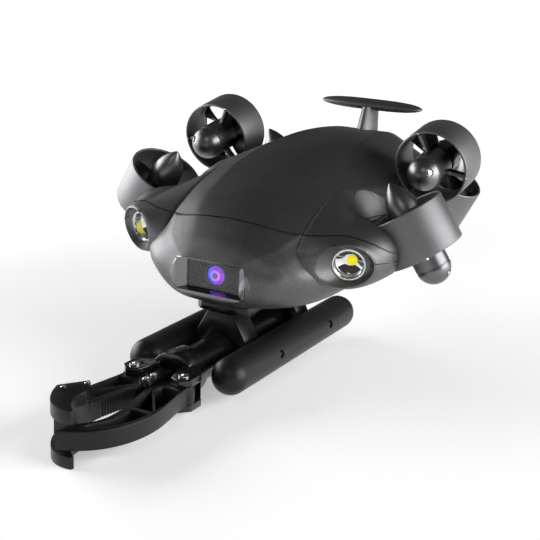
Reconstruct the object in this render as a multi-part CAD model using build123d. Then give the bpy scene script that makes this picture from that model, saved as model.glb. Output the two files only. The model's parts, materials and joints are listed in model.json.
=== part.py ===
from build123d import *
from math import cos, radians, sin
import os

os.makedirs("parts", exist_ok=True)

# Underwater inspection vehicle with a gripper arm. Millimetres, +Z up, front faces -Y.
# It is modelled about the point midway between the two front lights, and moved at the
# end so that the lowest point is z = 0 and the middle of its length is y = 0.

# Hull: stations from nose to tail. Each holds its place along the hull, then the
# half-section's points from the crown down to the keel.
hull_wall = 3.0
nose_y = -50.0
tail_y = 322.0
seam_height = 27.2
seam_drop = 7.0
seam_half_width = 60.5
seal_thickness = 0.7

# Front lights, set in scooped cups on the shoulder pods
light_x = 99.0
light_yaw = 20.0
light_pitch = -8.5
cup_yaw = 31.0
cup_half_width = 25.0
cup_half_height = 18.5
light_bore_r = 14.0
light_shelf = 0.5
light_module_depth = 20.0
light_ring_width = 2.6
light_ring_thickness = 2.4
reflector_depth = 8.5
reflector_throat_r = 3.3
emitter_r = 3.0

# Camera in the nose
bezel_top_z = -3.0
bezel_bottom_z = -32.5
bezel_half_width = 30.5
bezel_wing = 7.0
bezel_depth = 9.0
window_half_width = 24.5
window_top_z = -5.5
window_bottom_z = -28.5
window_thickness = 2.5
camera_box_depth = 22.0
camera_box_wall = 2.0
lens_r = 11.3
lens_length = 17.0
lens_glass_r = 8.3
lens_bulge = 1.8

# Carrying handle
handle_y = 253.0
blade_z = 88.5
blade_half_span = 53.4
blade_chord = 26.0
blade_thickness = 10.5
post_half_width = 8.5
post_length = 34.0
post_rake = 14.0

# Thrusters, all alike but for the length of the duct
duct_r = 33.6
duct_wall = 2.4
lip_radius = 0.9
lower_duct_length = 40.7
upper_duct_length = 37.3
hub_r = 15.0
dome_straight = 13.0
hub_back = 14.0
hub_cavity_r = 12.2
hub_cavity_front = -8.0
hub_cavity_back = 10.0
bearing_r = 5.2
bearing_length = 4.0
shaft_r = 2.0
shaft_clearance = 0.05
rotor_r = 4.9
winding_inner_r = 5.6
strut_count = 3
strut_width = 3.4
strut_front = 1.6
strut_length = 7.4
propeller_gap = 0.6
propeller_hub_r = 14.4
propeller_hub_length = 19.0
blade_count = 4
blade_tip_clearance = 0.8
blade_root_chord = 17.0
blade_tip_chord = 25.0
blade_root_pitch = 48.0
blade_tip_pitch = 30.0
blade_root_thickness = 2.6
blade_tip_thickness = 1.6
spinner_reach = 24.9
screw_r = 1.3
screw_depth = 3.0
screw_proud = 0.6
hull_gap_below_duct = 34.0
scoop_length = 40.0
ring_scoop_length = 14.0

# Where the thrusters of the right side stand: a point on the axis, lean about Y and X
front_duct_top = (116.0, 64.2, 35.5)
front_duct_lean = -31.55
front_duct_rake = -6.64
rear_duct_top = (92.8, 236.5, 32.4)
rear_duct_lean = 27.5
rear_duct_rake = -3.8
ring_front = (109.5, 137.2, 57.1)
ring_rise = 9.7

# Arm, floats and their mounting
arm_z = -84.0
arm_r = 15.3
arm_wall = 2.0
arm_front_y = -84.0
arm_back_y = 96.0
float_x = 38.5
float_z = -82.9
float_r = 15.1
float_front_y = -92.0
float_back_y = 131.0
float_wall = 2.5
float_screw_r = 3.5
float_screw_sink = 1.2
plate_half_width = 24.0
plate_front_y = -34.0
plate_back_y = 96.0
plate_bottom_z = -51.0
plate_screws = ((15.0, -16.0), (15.0, 48.0))
plate_screw_r = 2.2
plate_screw_length = 8.5
bracket_front_y = -30.0
bracket_length = 22.0
clamp_front_y = 62.0
clamp_length = 20.0
bracket_neck = 12.0
bracket_foot = (26.0, -76.0)
bracket_ring = 4.5
plate_chamfer = 4.5
plate_corner = 8.0

# Gripper
collar_r = 19.5
collar_back_y = -80.0
collar_length = 22.0
pivot_x = 22.4
pivot_y = -119.8
pivot_r = 2.5
pivot_clearance = 0.1
ear_r = 8.5
ear_top_z = -73.0
ear_bottom_z = -99.0
ear_slot_top_z = -78.6
ear_slot_bottom_z = -93.4
running_gap = 0.35
pivot_head_r = 4.2
cheek_plan = ((11, -96), (22, -96), (31, -108), (31, -122), (24, -130), (15, -126), (11, -112))
jaw_top_z = -79.0
jaw_bottom_z = -93.0
jaw_floor = 2.0
jaw_open_angle = 28.0
jaw_outer = (
    (28.8, -124.3), (32.2, -150.5), (35.4, -175.4), (32.6, -199.8), (25.5, -217), (13.5, -231),
    (-5, -239.8))
jaw_inner = (
    (-3.5, -235.8), (-1.6, -227), (5.2, -216), (9.8, -208.5), (11.7, -199), (11.7, -189),
    (10.6, -178.5), (8.7, -168.5), (6.7, -158.5), (5.0, -149.5), (4.2, -144))
jaw_pocket = (
    (9.5, -144), (12.6, -158), (15.2, -170), (16.9, -181), (17.6, -192), (16.4, -202),
    (12.8, -211.5), (8.5, -218.5), (7.5, -223.5), (13.0, -222), (20.5, -214.5), (26.5, -205.5),
    (30.5, -194), (33.0, -178), (32.8, -163), (31.0, -148), (28.0, -133.5), (12.5, -133.5))
jaw_ribs = (((14.5, -179.5), (36, -179), 2.2), ((8, -139.5), (33.5, -176), 0.9))
jaw_slot = ((17.5, -150.5), (19.8, -146.0), 1.5)
tooth_pitch = 2.6
tooth_depth = 0.9
tooth_rows = ((-221.0, 5), (-178.0, 13))
prong_top_z = -62.0
prong_bottom_z = -105.0
prong_outer = ((-28.7, -207), (-23, -220.5), (-9.4, -236.5), (8.4, -239.6))
prong_inner = ((9.3, -237.4), (-1.5, -226), (-4.6, -204.5))
fork_top_z = -72.0
fork_bottom_z = -96.0
fork_rivets = ((-22.0, -208.0), (-12.6, -192.7))
tail_high_bottom_z = -85.7
tail_low_top_z = -86.3
sweep_steps = 8
crosshead_top_z = -75.0
crosshead_bottom_z = -97.0
drive_rod_back_y = -44.0
drive_pin_y = -127.0
drive_pin_r = 2.0
drive_per_radian = 22.4
slot_clearance = 0.35
tail_wall = 2.4
rod_r = 3.5
crosshead_half_width = 5.0
keeper_pin_y = -137.0

# Inside the hull
housing_r = 27.0
housing_wall = 2.5
housing_z = -3.0
housing_front_y = -12.0
housing_back_y = 166.0
battery_half_width = 19.0
battery_top = 8.0
battery_front_y = 10.0
battery_length = 110.0
board_thickness = 1.8
board_half_width = 19.0
cradle_places = (22.0, 132.0)
cradle_thickness = 6.0
cradle_half_width = 36.0
drive_motor_front_y = -58.0
drive_motor_length = 46.0

# Tether socket at the tail
socket_r = 8.0
socket_length = 14.0
socket_collar_r = 11.5
socket_z = 21.0
socket_collar_length = 20.0
socket_proud = 6.0

mid_length_y = (-240.0 + tail_y + socket_proud) / 2
to_row = Pos(0, -mid_length_y, -prong_bottom_z)


def station(y, crown, ridge, edge, flank, side, haunch, bilge, keel):
    return dict(y=y, crown=crown, ridge=ridge, edge=edge, flank=flank, side=side,
                haunch=haunch, bilge=bilge, keel=keel)


hull_stations = [
    station(nose_y, -1.5, (14, -1.6), (26, -3), (33, -9), (36, -18), (33, -27), (24, -32.5), -33.5),
    station(-44, 9.0, (17, 8), (36, 3), (47, -5), (52, -14), (46, -27), (30, -36.5), -38.0),
    station(-33, 18.5, (23, 17), (47, 9), (60, -1), (66, -12), (56, -28), (34, -40), -42.5),
    station(-20, 27.5, (29, 25.5), (54, 16), (68, 3), (77, -12), (64, -33), (38, -43), -45.0),
    station(-5, 35.0, (34, 32.5), (60.5, 22.0), (77, 6), (86, -13), (72, -34), (43, -45), -47.0),
    station(20, 44.0, (39.5, 40.5), (60.5, 34.5), (84, 17), (97, -12), (78, -34), (50, -46), -48.5),
    station(50, 54.0, (41.3, 50.5), (62, 44.3), (88, 26), (102, -8), (82, -31), (54, -45), -48.5),
    station(85, 62.5, (40.6, 58.8), (78, 44.5), (97, 27), (104, -6), (84, -27), (54, -40.5), -46.0),
    station(125, 68.0, (37.5, 65.0), (88, 42.5), (101, 26), (101, 2), (82, -22), (50, -37), -43.0),
    station(165, 70.0, (33, 68.3), (86, 43), (95, 28), (91, 4), (74, -18), (44, -33), -39.0),
    station(205, 69.0, (27, 68), (76, 46), (80, 32), (71, 7), (60, -14), (37, -27.5), -33.0),
    station(245, 64.5, (22, 63.5), (60, 46), (60, 33), (51, 9), (44, -8), (30, -19), -24.0),
    station(280, 55.5, (18, 54.5), (43, 42), (44, 32), (38.5, 13), (33, 0), (23, -8.5), -12.0),
    station(305, 46.0, (14, 45.5), (30, 37), (31, 30), (27.5, 17), (24, 8), (16.5, 2.5), 0.5),
    station(tail_y, 36.5, (9, 36), (16, 31), (17.5, 26), (17, 19), (15, 12.5), (9.5, 8.5), 7.0),
]


def hull_face(at, inset=0.0):
    """Right half of one section of the hull, moved inwards by inset."""
    y = at["y"]

    def inwards(point, across, up):
        return Vector(point[0] - across * inset, y, point[1] + up * inset)

    crown = Vector(0, y, at["crown"] - inset)
    ridge = inwards(at["ridge"], 0.3, -0.95)
    edge = inwards(at["edge"], 0.6, -0.8)
    flank = inwards(at["flank"], 0.8, -0.5)
    side = inwards(at["side"], 1.0, 0.0)
    haunch = inwards(at["haunch"], 0.7, 0.7)
    bilge = inwards(at["bilge"], 0.3, 0.95)
    keel = Vector(0, y, at["keel"] + inset)
    shoulder = (ridge + edge) * 0.5 + Vector(0.4, 0, 0.6)
    across_crown = Vector(1, 0, 0)
    down = Vector(0, 0, -1)
    across_keel = Vector(-1, 0, 0)
    return Face(Wire([
        Edge.make_spline([crown, ridge], tangents=[across_crown, (ridge - crown).normalized()]),
        Edge.make_spline([ridge, shoulder, edge]),
        Edge.make_spline([edge, flank, side], tangents=[(flank - edge).normalized(), down]),
        Edge.make_spline([side, haunch, bilge, keel], tangents=[down, across_keel]),
        Edge.make_line(keel, crown),
    ]))


def whole_loft(faces):
    """Loft the half sections and join them with their mirror image."""
    half = loft(faces)
    return half + mirror(half, about=Plane.YZ)


def both_sides(shape):
    return shape + mirror(shape, about=Plane.YZ)


def left_of(shape):
    return mirror(shape, about=Plane.YZ)


def leaning(lean, rake):
    """Unit vector of a duct's axis, from its struts to its spinner."""
    return Vector(
        sin(radians(lean)) * cos(radians(rake)),
        sin(radians(rake)),
        cos(radians(lean)) * cos(radians(rake)),
    )


def axis_plane(base, axis, towards):
    """A plane at base whose Z is the axis and whose X points towards a direction."""
    across = Vector(*towards)
    across = (across - axis * across.dot(axis)).normalized()
    return Plane(origin=base, x_dir=across, z_dir=axis)


def thruster_places():
    """Plane and duct length of each thruster of the right side, at its strut rim."""
    front_axis = leaning(front_duct_lean, front_duct_rake)
    rear_axis = leaning(rear_duct_lean, rear_duct_rake)
    ring_axis = Vector(0, cos(radians(ring_rise)), sin(radians(ring_rise)))
    front_base = Vector(*front_duct_top) - front_axis * lower_duct_length
    rear_base = Vector(*rear_duct_top) - rear_axis * lower_duct_length
    return {
        "front": (axis_plane(front_base, front_axis, (0.45, -0.89, 0)), lower_duct_length),
        "rear": (axis_plane(rear_base, rear_axis, (0.45, 0.89, 0)), lower_duct_length),
        "upper": (axis_plane(Vector(*ring_front), ring_axis, (0.99, 0, -0.14)), upper_duct_length),
    }


def rod(radius, start, end):
    """Cylinder about local Z from start to end."""
    return Pos(0, 0, start) * Cylinder(radius, end - start, align=(Align.CENTER, Align.CENTER, Align.MIN))


def rod_along_y(radius, x, z, front, back):
    return Pos(x, front, z) * Rot(-90, 0, 0) * rod(radius, 0, back - front)


def light_plane(yaw, pitch, point):
    """Plane on a light's axis: Z points out of the cup, X across the cup."""
    out = Vector(
        sin(radians(yaw)) * cos(radians(pitch)),
        -cos(radians(yaw)) * cos(radians(pitch)),
        sin(radians(pitch)),
    )
    across = Vector(cos(radians(yaw)), sin(radians(yaw)), 0)
    return Plane(origin=point, x_dir=across, z_dir=out)


def pod_body():
    """Shoulder pod of the right side: a bullet that carries the light and the front duct."""
    rim = light_plane(cup_yaw, light_pitch, (light_x, -9.0, 0))
    sections = [
        rim * Ellipse(cup_half_width + 0.6, cup_half_height + 0.6),
        light_plane(26, -6, (97.5, 2, 0.5)) * Ellipse(28.5, 22),
        light_plane(14, -3, (95, 24, 2.5)) * Ellipse(32.5, 25.5),
        light_plane(5, 0, (92, 58, 5)) * Ellipse(35, 28),
        light_plane(0, 0, (86, 92, 6)) * Ellipse(28, 24),
    ]
    return loft(sections)


def shoulder():
    """Broad fairing from the hull's flank to the rim of the right light cup."""
    flank = Plane(origin=(seam_half_width - 0.5, 0, 0), x_dir=(0, 1, 0), z_dir=(1, 0, 0))
    outline = [
        (-23.5, -3), (-20.5, 9), (-8.5, 20), (6, 28.2), (24, 35.6), (48, 42.5), (74, 44),
        (92, 34), (96, 8), (84, -16), (50, -26), (10, -27), (-16, -18),
    ]
    root = flank * Face(Wire([Edge.make_spline([Vector(*p) for p in outline], periodic=True)]))
    rim = light_plane(cup_yaw, light_pitch, (light_x, -9.0, 0))
    a, b = cup_half_width + 0.6, cup_half_height + 0.6
    turns = [180 - 360 / len(outline) * i for i in range(len(outline))]
    ring = [Vector(a * cos(radians(t)), b * sin(radians(t))) for t in turns]
    front = rim * Face(Wire([Edge.make_spline(ring, periodic=True)]))
    return loft([root, front])


def cup_cut():
    """Scooped cup and the bore for the light behind it."""
    rim = light_plane(cup_yaw, light_pitch, (light_x, -9.0, 0))
    seat = light_plane(light_yaw, light_pitch, (light_x, 0, 0))
    over = light_plane(cup_yaw, light_pitch, (light_x + 0.6 * sin(radians(cup_yaw)), -9.0 - 1.0, 0.0))
    cup = loft([
        over * Ellipse(cup_half_width, cup_half_height),
        rim.offset(-3.5) * Ellipse(cup_half_width - 3.6, cup_half_height - 1.2),
        seat * Circle(light_bore_r + light_shelf),
    ])
    bore = seat * rod(light_bore_r, -light_module_depth, 0.2)
    return cup + bore


def ring_pylon():
    """Fairing from the flank up to the upper ring of the right side."""
    base = Plane(origin=(66, 158, 22), x_dir=(0, 1, 0), z_dir=Vector(0.86, 0, 0.5))
    tip = Plane(origin=(98, 156, 40), x_dir=(0, 1, 0), z_dir=Vector(0.86, 0, 0.5))
    return loft([base * Ellipse(40, 20), tip * Ellipse(22, 9)])


def duct_pylon():
    """Fairing from the flank to the rear duct of the right side."""
    base = Plane(origin=(30, 238, 18), x_dir=(0, 1, 0), z_dir=(1, 0, 0))
    tip = Plane(origin=(66, 238, 17), x_dir=(0, 1, 0), z_dir=(1, 0, 0))
    return loft([base * Ellipse(38, 20), tip * Ellipse(24, 13)])


def water_paths(extra=0.0):
    """What the ducts and the water through them take out of the right side."""
    paths = None
    for name, (plane, length) in thruster_places().items():
        front = ring_scoop_length if name == "upper" else hull_gap_below_duct
        back = ring_scoop_length if name == "upper" else scoop_length
        path = plane * rod(duct_r + extra, -front, length + back)
        paths = path if paths is None else paths + path
    return paths


def bezel_outline(grow=0.0):
    """Front outline of the camera bezel in the XZ plane, with pointed wings."""
    mid = (bezel_top_z + bezel_bottom_z) / 2
    half = bezel_half_width + grow
    points = [
        (-half, bezel_top_z + grow),
        (half, bezel_top_z + grow),
        (half + bezel_wing, mid + 3),
        (half + bezel_wing, mid - 3),
        (half - 2, bezel_bottom_z - grow),
        (-half + 2, bezel_bottom_z - grow),
        (-half - bezel_wing, mid - 3),
        (-half - bezel_wing, mid + 3),
    ]
    return Plane.XZ * Polygon(*points, align=None)


def split_region(lift=0.0):
    """Everything below the seam between the hull's shells, raised by lift."""
    def at(x, z):
        return (x, z + lift)

    far, deep = 200.0, -160.0
    seam = Wire([
        Edge.make_spline([
            Vector(0, 0, seam_height + lift),
            Vector(seam_half_width / 2, 0, seam_height - seam_drop * 0.3 + lift),
            Vector(seam_half_width, 0, seam_height - seam_drop + lift),
            Vector(seam_half_width + 25, 0, seam_height - seam_drop - 0.5 + lift),
            Vector(seam_half_width + 52, 0, seam_height - seam_drop * 2.8 + lift),
            Vector(seam_half_width + 72, 0, -3 + lift),
            Vector(far, 0, -8 + lift),
        ], tangents=[Vector(1, 0, 0), Vector(1, 0, 0)]),
        Edge.make_line(Vector(far, 0, -8 + lift), Vector(far, 0, deep)),
        Edge.make_line(Vector(far, 0, deep), Vector(0, 0, deep)),
        Edge.make_line(Vector(0, 0, deep), Vector(0, 0, seam_height + lift)),
    ])
    half = Pos(0, 420, 0) * extrude(Face(seam), amount=600, dir=(0, -1, 0))
    return half + mirror(half, about=Plane.YZ)


def bezel_prism(front, back, grow=0.0):
    """The bezel's outline as a prism between two places along the hull."""
    return Pos(0, back, 0) * extrude(bezel_outline(grow), amount=back - front, dir=(0, -1, 0))


def window_opening(front, back, grow=0.0):
    return Pos(0, (front + back) / 2, (window_top_z + window_bottom_z) / 2) * Box(
        2 * (window_half_width + grow), back - front, window_top_z - window_bottom_z + 2 * grow
    )


def camera_pieces(central):
    """Bezel, window, dark box and lens in the nose."""
    bezel_back = nose_y + bezel_depth
    bezel = bezel_prism(nose_y - 2.0, bezel_back) & (central + window_opening(nose_y - 2, nose_y, 6))
    bezel = bezel - window_opening(nose_y - 5, bezel_back + 1)
    window_front = bezel_back - window_thickness
    window = window_opening(window_front, bezel_back)
    box_back = bezel_back + camera_box_depth
    case = window_opening(bezel_back, box_back, camera_box_wall)
    case = case - window_opening(bezel_back - 1, box_back - camera_box_wall)
    lens_z = (window_top_z + window_bottom_z) / 2
    lens_front = box_back - camera_box_wall - lens_length
    barrel = rod_along_y(lens_r, 0, lens_z, lens_front, box_back - camera_box_wall)
    ball_r = (lens_glass_r ** 2 + lens_bulge ** 2) / (2 * lens_bulge)
    dome = Pos(0, lens_front + ball_r - lens_bulge, lens_z) * Sphere(ball_r)
    dome = dome & rod_along_y(lens_r, 0, lens_z, lens_front - lens_bulge - 1, lens_front)
    return {
        "camera_bezel": bezel,
        "camera_window": window,
        "camera_housing": case,
        "camera_lens": barrel + dome,
    }


def light_pieces():
    """Reflector, clamp ring with its screws and emitter of the right light."""
    seat = light_plane(light_yaw, light_pitch, (light_x, 0, 0))
    bowl_r = light_bore_r - light_ring_width
    body = rod(light_bore_r, -light_module_depth, -light_ring_thickness)
    bowl = Cone(reflector_throat_r, bowl_r, reflector_depth, align=(Align.CENTER, Align.CENTER, Align.MIN))
    body = body - Pos(0, 0, -light_ring_thickness - reflector_depth) * bowl
    ring = rod(light_bore_r, -light_ring_thickness, 0) - rod(bowl_r, -light_ring_thickness - 1, 1)
    screw_circle = light_bore_r - light_ring_width / 2
    heads = [Rot(0, 0, 120 * i + 20) * Pos(screw_circle, 0, 0) * rod(0.9, -0.01, 0.6) for i in range(3)]
    for head in heads:
        ring = ring + head
    floor = -light_ring_thickness - reflector_depth
    emitter = rod(emitter_r, floor, floor + 1.6)
    return {"light_reflector": seat * body, "light_ring": seat * ring, "light_emitter": seat * emitter}


def handle_pieces(central):
    """Post on the hull's back and the blade across its top."""
    top = blade_z - blade_thickness * 0.25
    foot = central.bounding_box().max.Z - 22.0
    lean = post_rake

    def kite(y, z, grow):
        w, n = post_half_width * grow, post_length * grow
        points = [(0, -n / 2), (w, -n / 6), (w * 0.8, n / 3), (0, n / 2), (-w * 0.8, n / 3), (-w, -n / 6)]
        return Pos(0, y, z) * Polygon(*points, align=None)

    post = loft([kite(handle_y - lean + 4, foot, 1.25), kite(handle_y - 2, top, 0.82)])
    post = post - central
    span = blade_half_span
    sections = []
    shares = ((-1, 0.12), (-0.93, 0.5), (-0.75, 0.78), (0, 1), (0.75, 0.78), (0.93, 0.5), (1, 0.12))
    for share, size in shares:
        plane = Plane(origin=(share * span, handle_y, blade_z), x_dir=(0, 1, 0), z_dir=(1, 0, 0))
        sections.append(plane * Ellipse(blade_chord / 2 * size, blade_thickness / 2 * size))
    blade = loft(sections)
    return {"handle_post": post - blade, "handle_blade": blade}


def motor_pod():
    """Bullet housing on three struts, about local Z, its dome below zero."""
    front = -dome_straight
    profile = Wire([
        Edge.make_three_point_arc(
            Vector(0, 0, front - hub_r),
            Vector(hub_r * 0.7071, 0, front - hub_r * 0.7071),
            Vector(hub_r, 0, front)),
        Edge.make_line(Vector(hub_r, 0, front), Vector(hub_r, 0, hub_back)),
        Edge.make_line(Vector(hub_r, 0, hub_back), Vector(0, 0, hub_back)),
        Edge.make_line(Vector(0, 0, hub_back), Vector(0, 0, front - hub_r)),
    ])
    pod = revolve(Face(profile), Axis.Z)
    for i in range(strut_count):
        strut = Rot(0, 0, 120 * i) * Pos((hub_r + duct_r) / 2 - 2, 0, strut_front + strut_length / 2) * Box(
            duct_r - hub_r + 4, strut_width, strut_length)
        pod = pod + (strut & rod(duct_r - duct_wall, 0, hub_back))
    pod = pod - rod(hub_cavity_r, hub_cavity_front, hub_cavity_back)
    pod = pod - rod(bearing_r, hub_cavity_front - bearing_length, hub_back + 1)
    screw_hole = Plane(origin=(0, 0, front - 4), x_dir=(0, 1, 0), z_dir=Vector(0.86, 0, -0.5))
    pod = pod - screw_hole * rod(2.6, hub_r - 4.5, hub_r + 4)
    return pod - strut_screws(0.0)


def strut_screws(proud):
    """Screws at the rim and at the hub, one of each to a strut."""
    screws = None
    rim = duct_r - duct_wall / 2
    for i in range(strut_count):
        at_rim = Rot(0, 0, 120 * i) * Pos(rim, 0, 0) * rod(screw_r * 0.9, -proud, screw_depth)
        at_hub = Rot(0, 0, 120 * i) * Pos(hub_r + 3, 0, 0) * rod(
            screw_r * 0.9, strut_front - proud, strut_front + screw_depth)
        screws = at_rim + at_hub if screws is None else screws + at_rim + at_hub
    return screws


def duct_ring(length):
    ring = rod(duct_r, 0, length) - rod(duct_r - duct_wall, -1, length + 1)
    ring = fillet(ring.edges().filter_by(GeomType.CIRCLE), lip_radius)
    return ring - strut_screws(0.0)


def blade_section(radius, middle, pitch, chord, thickness):
    """Lens-shaped section of a blade, square to its span."""
    along = (0, cos(radians(pitch)), sin(radians(pitch)))
    plane = Plane(origin=(radius, 0, middle), x_dir=along, z_dir=(1, 0, 0))
    half, thick = chord / 2, thickness / 2
    points = [(-half, 0), (-half * 0.5, thick), (half * 0.5, thick)]
    points += [(-x, -y) for x, y in points]
    return plane * Polygon(*points, align=None)


def propeller():
    """Hub, shaft, rotor core and four broad blades, about local Z."""
    start = hub_back + propeller_gap
    hub = rod(propeller_hub_r, start, start + propeller_hub_length)
    shaft = rod(shaft_r, hub_cavity_front - bearing_length + 0.5, start + 1)
    core = rod(rotor_r, hub_cavity_front + 0.5, hub_cavity_back - 0.5)
    middle = start + propeller_hub_length / 2
    tip_r = duct_r - duct_wall - blade_tip_clearance
    blade = loft([
        blade_section(propeller_hub_r - 2, middle, blade_root_pitch, blade_root_chord, blade_root_thickness),
        blade_section(duct_r + 2, middle, blade_tip_pitch, blade_tip_chord, blade_tip_thickness),
    ])
    blade = blade & rod(tip_r, start, start + propeller_hub_length)
    wheel = hub + shaft + core
    for i in range(blade_count):
        wheel = wheel + Rot(0, 0, 360 / blade_count * i + 45) * blade
    return wheel


def spinner(length):
    """Pointed cone that covers the propeller hub."""
    base = hub_back + propeller_gap + propeller_hub_length
    tip = length + spinner_reach
    reach = tip - base
    profile = Wire([
        Edge.make_line(Vector(0, 0, base), Vector(propeller_hub_r, 0, base)),
        Edge.make_spline([
            Vector(propeller_hub_r, 0, base),
            Vector(propeller_hub_r * 0.93, 0, base + reach * 0.35),
            Vector(propeller_hub_r * 0.6, 0, base + reach * 0.7),
            Vector(0, 0, tip)], tangents=[Vector(0, 0, 1), Vector(-0.7, 0, 1)]),
        Edge.make_line(Vector(0, 0, tip), Vector(0, 0, base)),
    ])
    return revolve(Face(profile), Axis.Z)


def bearings():
    ring = rod(bearing_r, 0, bearing_length) - rod(shaft_r + shaft_clearance, -1, bearing_length + 1)
    return Pos(0, 0, hub_cavity_front - bearing_length) * ring + Pos(0, 0, hub_cavity_back) * ring


def winding():
    return rod(hub_cavity_r, hub_cavity_front, hub_cavity_back) - rod(
        winding_inner_r, hub_cavity_front - 1, hub_cavity_back + 1)


def thruster_pieces():
    """All six thrusters: their own pieces, and the small parts that share a node."""
    pieces = {}
    screws, windings, all_bearings = [], [], []
    for name, (plane, length) in thruster_places().items():
        own = {
            "duct": duct_ring(length),
            "motor_pod": motor_pod(),
            "propeller": propeller(),
            "spinner": spinner(length),
        }
        for kind, shape in own.items():
            right = plane * shape
            pieces[f"right_{name}_{kind}"] = right
            pieces[f"left_{name}_{kind}"] = left_of(right)
        inner = ((screws, strut_screws(screw_proud)), (windings, winding()), (all_bearings, bearings()))
        for bag, shape in inner:
            right = plane * shape
            bag.extend(right.solids() + left_of(right).solids())
    pieces["duct_screws"] = Compound(children=screws)
    pieces["motor_windings"] = Compound(children=windings)
    pieces["shaft_bearings"] = Compound(children=all_bearings)
    return pieces


def float_hull():
    """One round-ended float of the right side with its two sunk screw holes."""
    straight = rod_along_y(float_r, float_x, float_z, float_front_y + float_r, float_back_y - float_r)
    ends = Pos(float_x, float_front_y + float_r, float_z) * Sphere(float_r)
    ends = ends + Pos(float_x, float_back_y - float_r, float_z) * Sphere(float_r)
    return straight + ends


def float_screw_places():
    """Origin and outward direction of the screws in the right float."""
    out = Vector(1, 0, 0.25).normalized()
    return [Plane(origin=(float_x, y, float_z), x_dir=(0, 1, 0), z_dir=out)
            for y in (bracket_front_y + bracket_length / 2, clamp_front_y + clamp_length / 2)]


def arm_mount_pieces(central):
    """Belly plate, front bracket, rear clamp, arm tube and the two floats."""
    length = plate_back_y - plate_front_y
    plate = Pos(0, plate_front_y + length / 2, plate_bottom_z + 10) * Box(2 * plate_half_width, length, 20)
    edge, corner = plate_chamfer * 2 ** 0.5, plate_corner * 2 ** 0.5
    plate = plate - Pos(0, plate_front_y, plate_bottom_z) * Rot(45, 0, 0) * Box(100, edge, edge)
    plate = plate - both_sides(
        Pos(plate_half_width, plate_front_y, plate_bottom_z) * Rot(0, 0, 45) * Box(corner, corner, 60))
    plate = plate - central - plate_screw_set()
    plate = max(plate.solids(), key=lambda s: s.volume)

    floats = float_hull()
    neck, wide = bracket_neck, float_x
    ring_r = arm_r + bracket_ring

    def saddle(front, depth, top_half):
        """A web from the plate down round the arm tube and onto both floats."""
        inner_foot = (ring_r * 0.8, arm_z - ring_r * 0.6)
        half = [(top_half, plate_bottom_z), bracket_foot, (wide, float_z), inner_foot]
        outline = Plane.XZ * Polygon(*half, *[(-x, z) for x, z in reversed(half)], align=None)
        web = Pos(0, front + depth, 0) * extrude(outline, amount=depth, dir=(0, -1, 0))
        web = web - rod_along_y(arm_r, 0, arm_z, front - 1, front + depth + 1)
        return web - both_sides(floats)

    arm = rod_along_y(arm_r, 0, arm_z, arm_front_y, arm_back_y)
    arm = arm - rod_along_y(arm_r - arm_wall, 0, arm_z, arm_front_y - 1, arm_back_y - arm_wall)
    hollow = rod_along_y(
        float_r - float_wall, float_x, float_z, float_front_y + float_r, float_back_y - float_r)
    buoy = floats - hollow
    screws = []
    for plane in float_screw_places():
        buoy = buoy - plane * rod(float_screw_r, float_r - float_wall - 1, float_r + 1)
        screws.append(plane * rod(float_screw_r, float_r - float_wall, float_r - float_screw_sink))
    return {
        "belly_plate": plate,
        "front_bracket": saddle(bracket_front_y, bracket_length, neck),
        "rear_clamp": saddle(clamp_front_y, clamp_length, neck + 2),
        "arm_tube": arm,
        "right_float": buoy,
        "left_float": left_of(buoy),
        "float_screws": Compound(children=screws + [left_of(s) for s in screws]),
    }


def plate_screw_set():
    """Sunk screws that hold the belly plate to the lower shell."""
    screws = None
    for x, y in plate_screws:
        screw = Pos(x, y, plate_bottom_z) * rod(plate_screw_r, 0, plate_screw_length)
        pair = screw + left_of(screw)
        screws = pair if screws is None else screws + pair
    return screws


def prism(face, bottom, top):
    """A face drawn in the XY plane, made solid between two heights."""
    return Pos(0, 0, bottom) * extrude(face, amount=top - bottom, dir=(0, 0, 1))


def upright(radius, x, y, bottom, top):
    return Pos(x, y, 0) * rod(radius, bottom, top)


def bar(start, end, half_width, bottom, top):
    """Round-ended bar between two places in plan."""
    dx, dy = end[0] - start[0], end[1] - start[1]
    span = (dx * dx + dy * dy) ** 0.5
    across = (-dy / span * half_width, dx / span * half_width)
    corners = [
        (start[0] + across[0], start[1] + across[1]),
        (end[0] + across[0], end[1] + across[1]),
        (end[0] - across[0], end[1] - across[1]),
        (start[0] - across[0], start[1] - across[1]),
    ]
    middle = prism(Polygon(*corners, align=None), bottom, top)
    return middle + upright(half_width, *start, bottom, top) + upright(half_width, *end, bottom, top)


def pin_path():
    """Where the drive pin stands in the right jaw's own frame while the jaw opens."""
    places = []
    for step in range(5):
        angle = radians(jaw_open_angle) * step / 4
        x = -pivot_x
        y = drive_pin_y - drive_per_radian * angle - pivot_y
        places.append((
            pivot_x + x * cos(angle) + y * sin(angle),
            pivot_y - x * sin(angle) + y * cos(angle),
        ))
    return places


def jaw_tail(bottom, top, grow=0.0):
    """Bar from the right jaw's pivot to the end of its slot."""
    places = pin_path()
    half = drive_pin_r + slot_clearance + tail_wall + grow
    tail = bar((pivot_x, pivot_y), places[0], half, bottom - grow, top + grow)
    return tail + bar(places[0], places[-1], half, bottom - grow, top + grow)


def tail_slot():
    """The way of the drive pin through the right jaw's tail."""
    places = pin_path()
    slot = None
    for start, end in zip(places, places[1:]):
        piece = bar(start, end, drive_pin_r + slot_clearance, jaw_bottom_z - 1, jaw_top_z + 1)
        slot = piece if slot is None else slot + piece
    return slot


def swung(shape, angle):
    """A piece of the right jaw, opened by an angle."""
    return Pos(pivot_x, pivot_y, 0) * Rot(0, 0, angle) * Pos(-pivot_x, -pivot_y, 0) * shape


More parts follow.
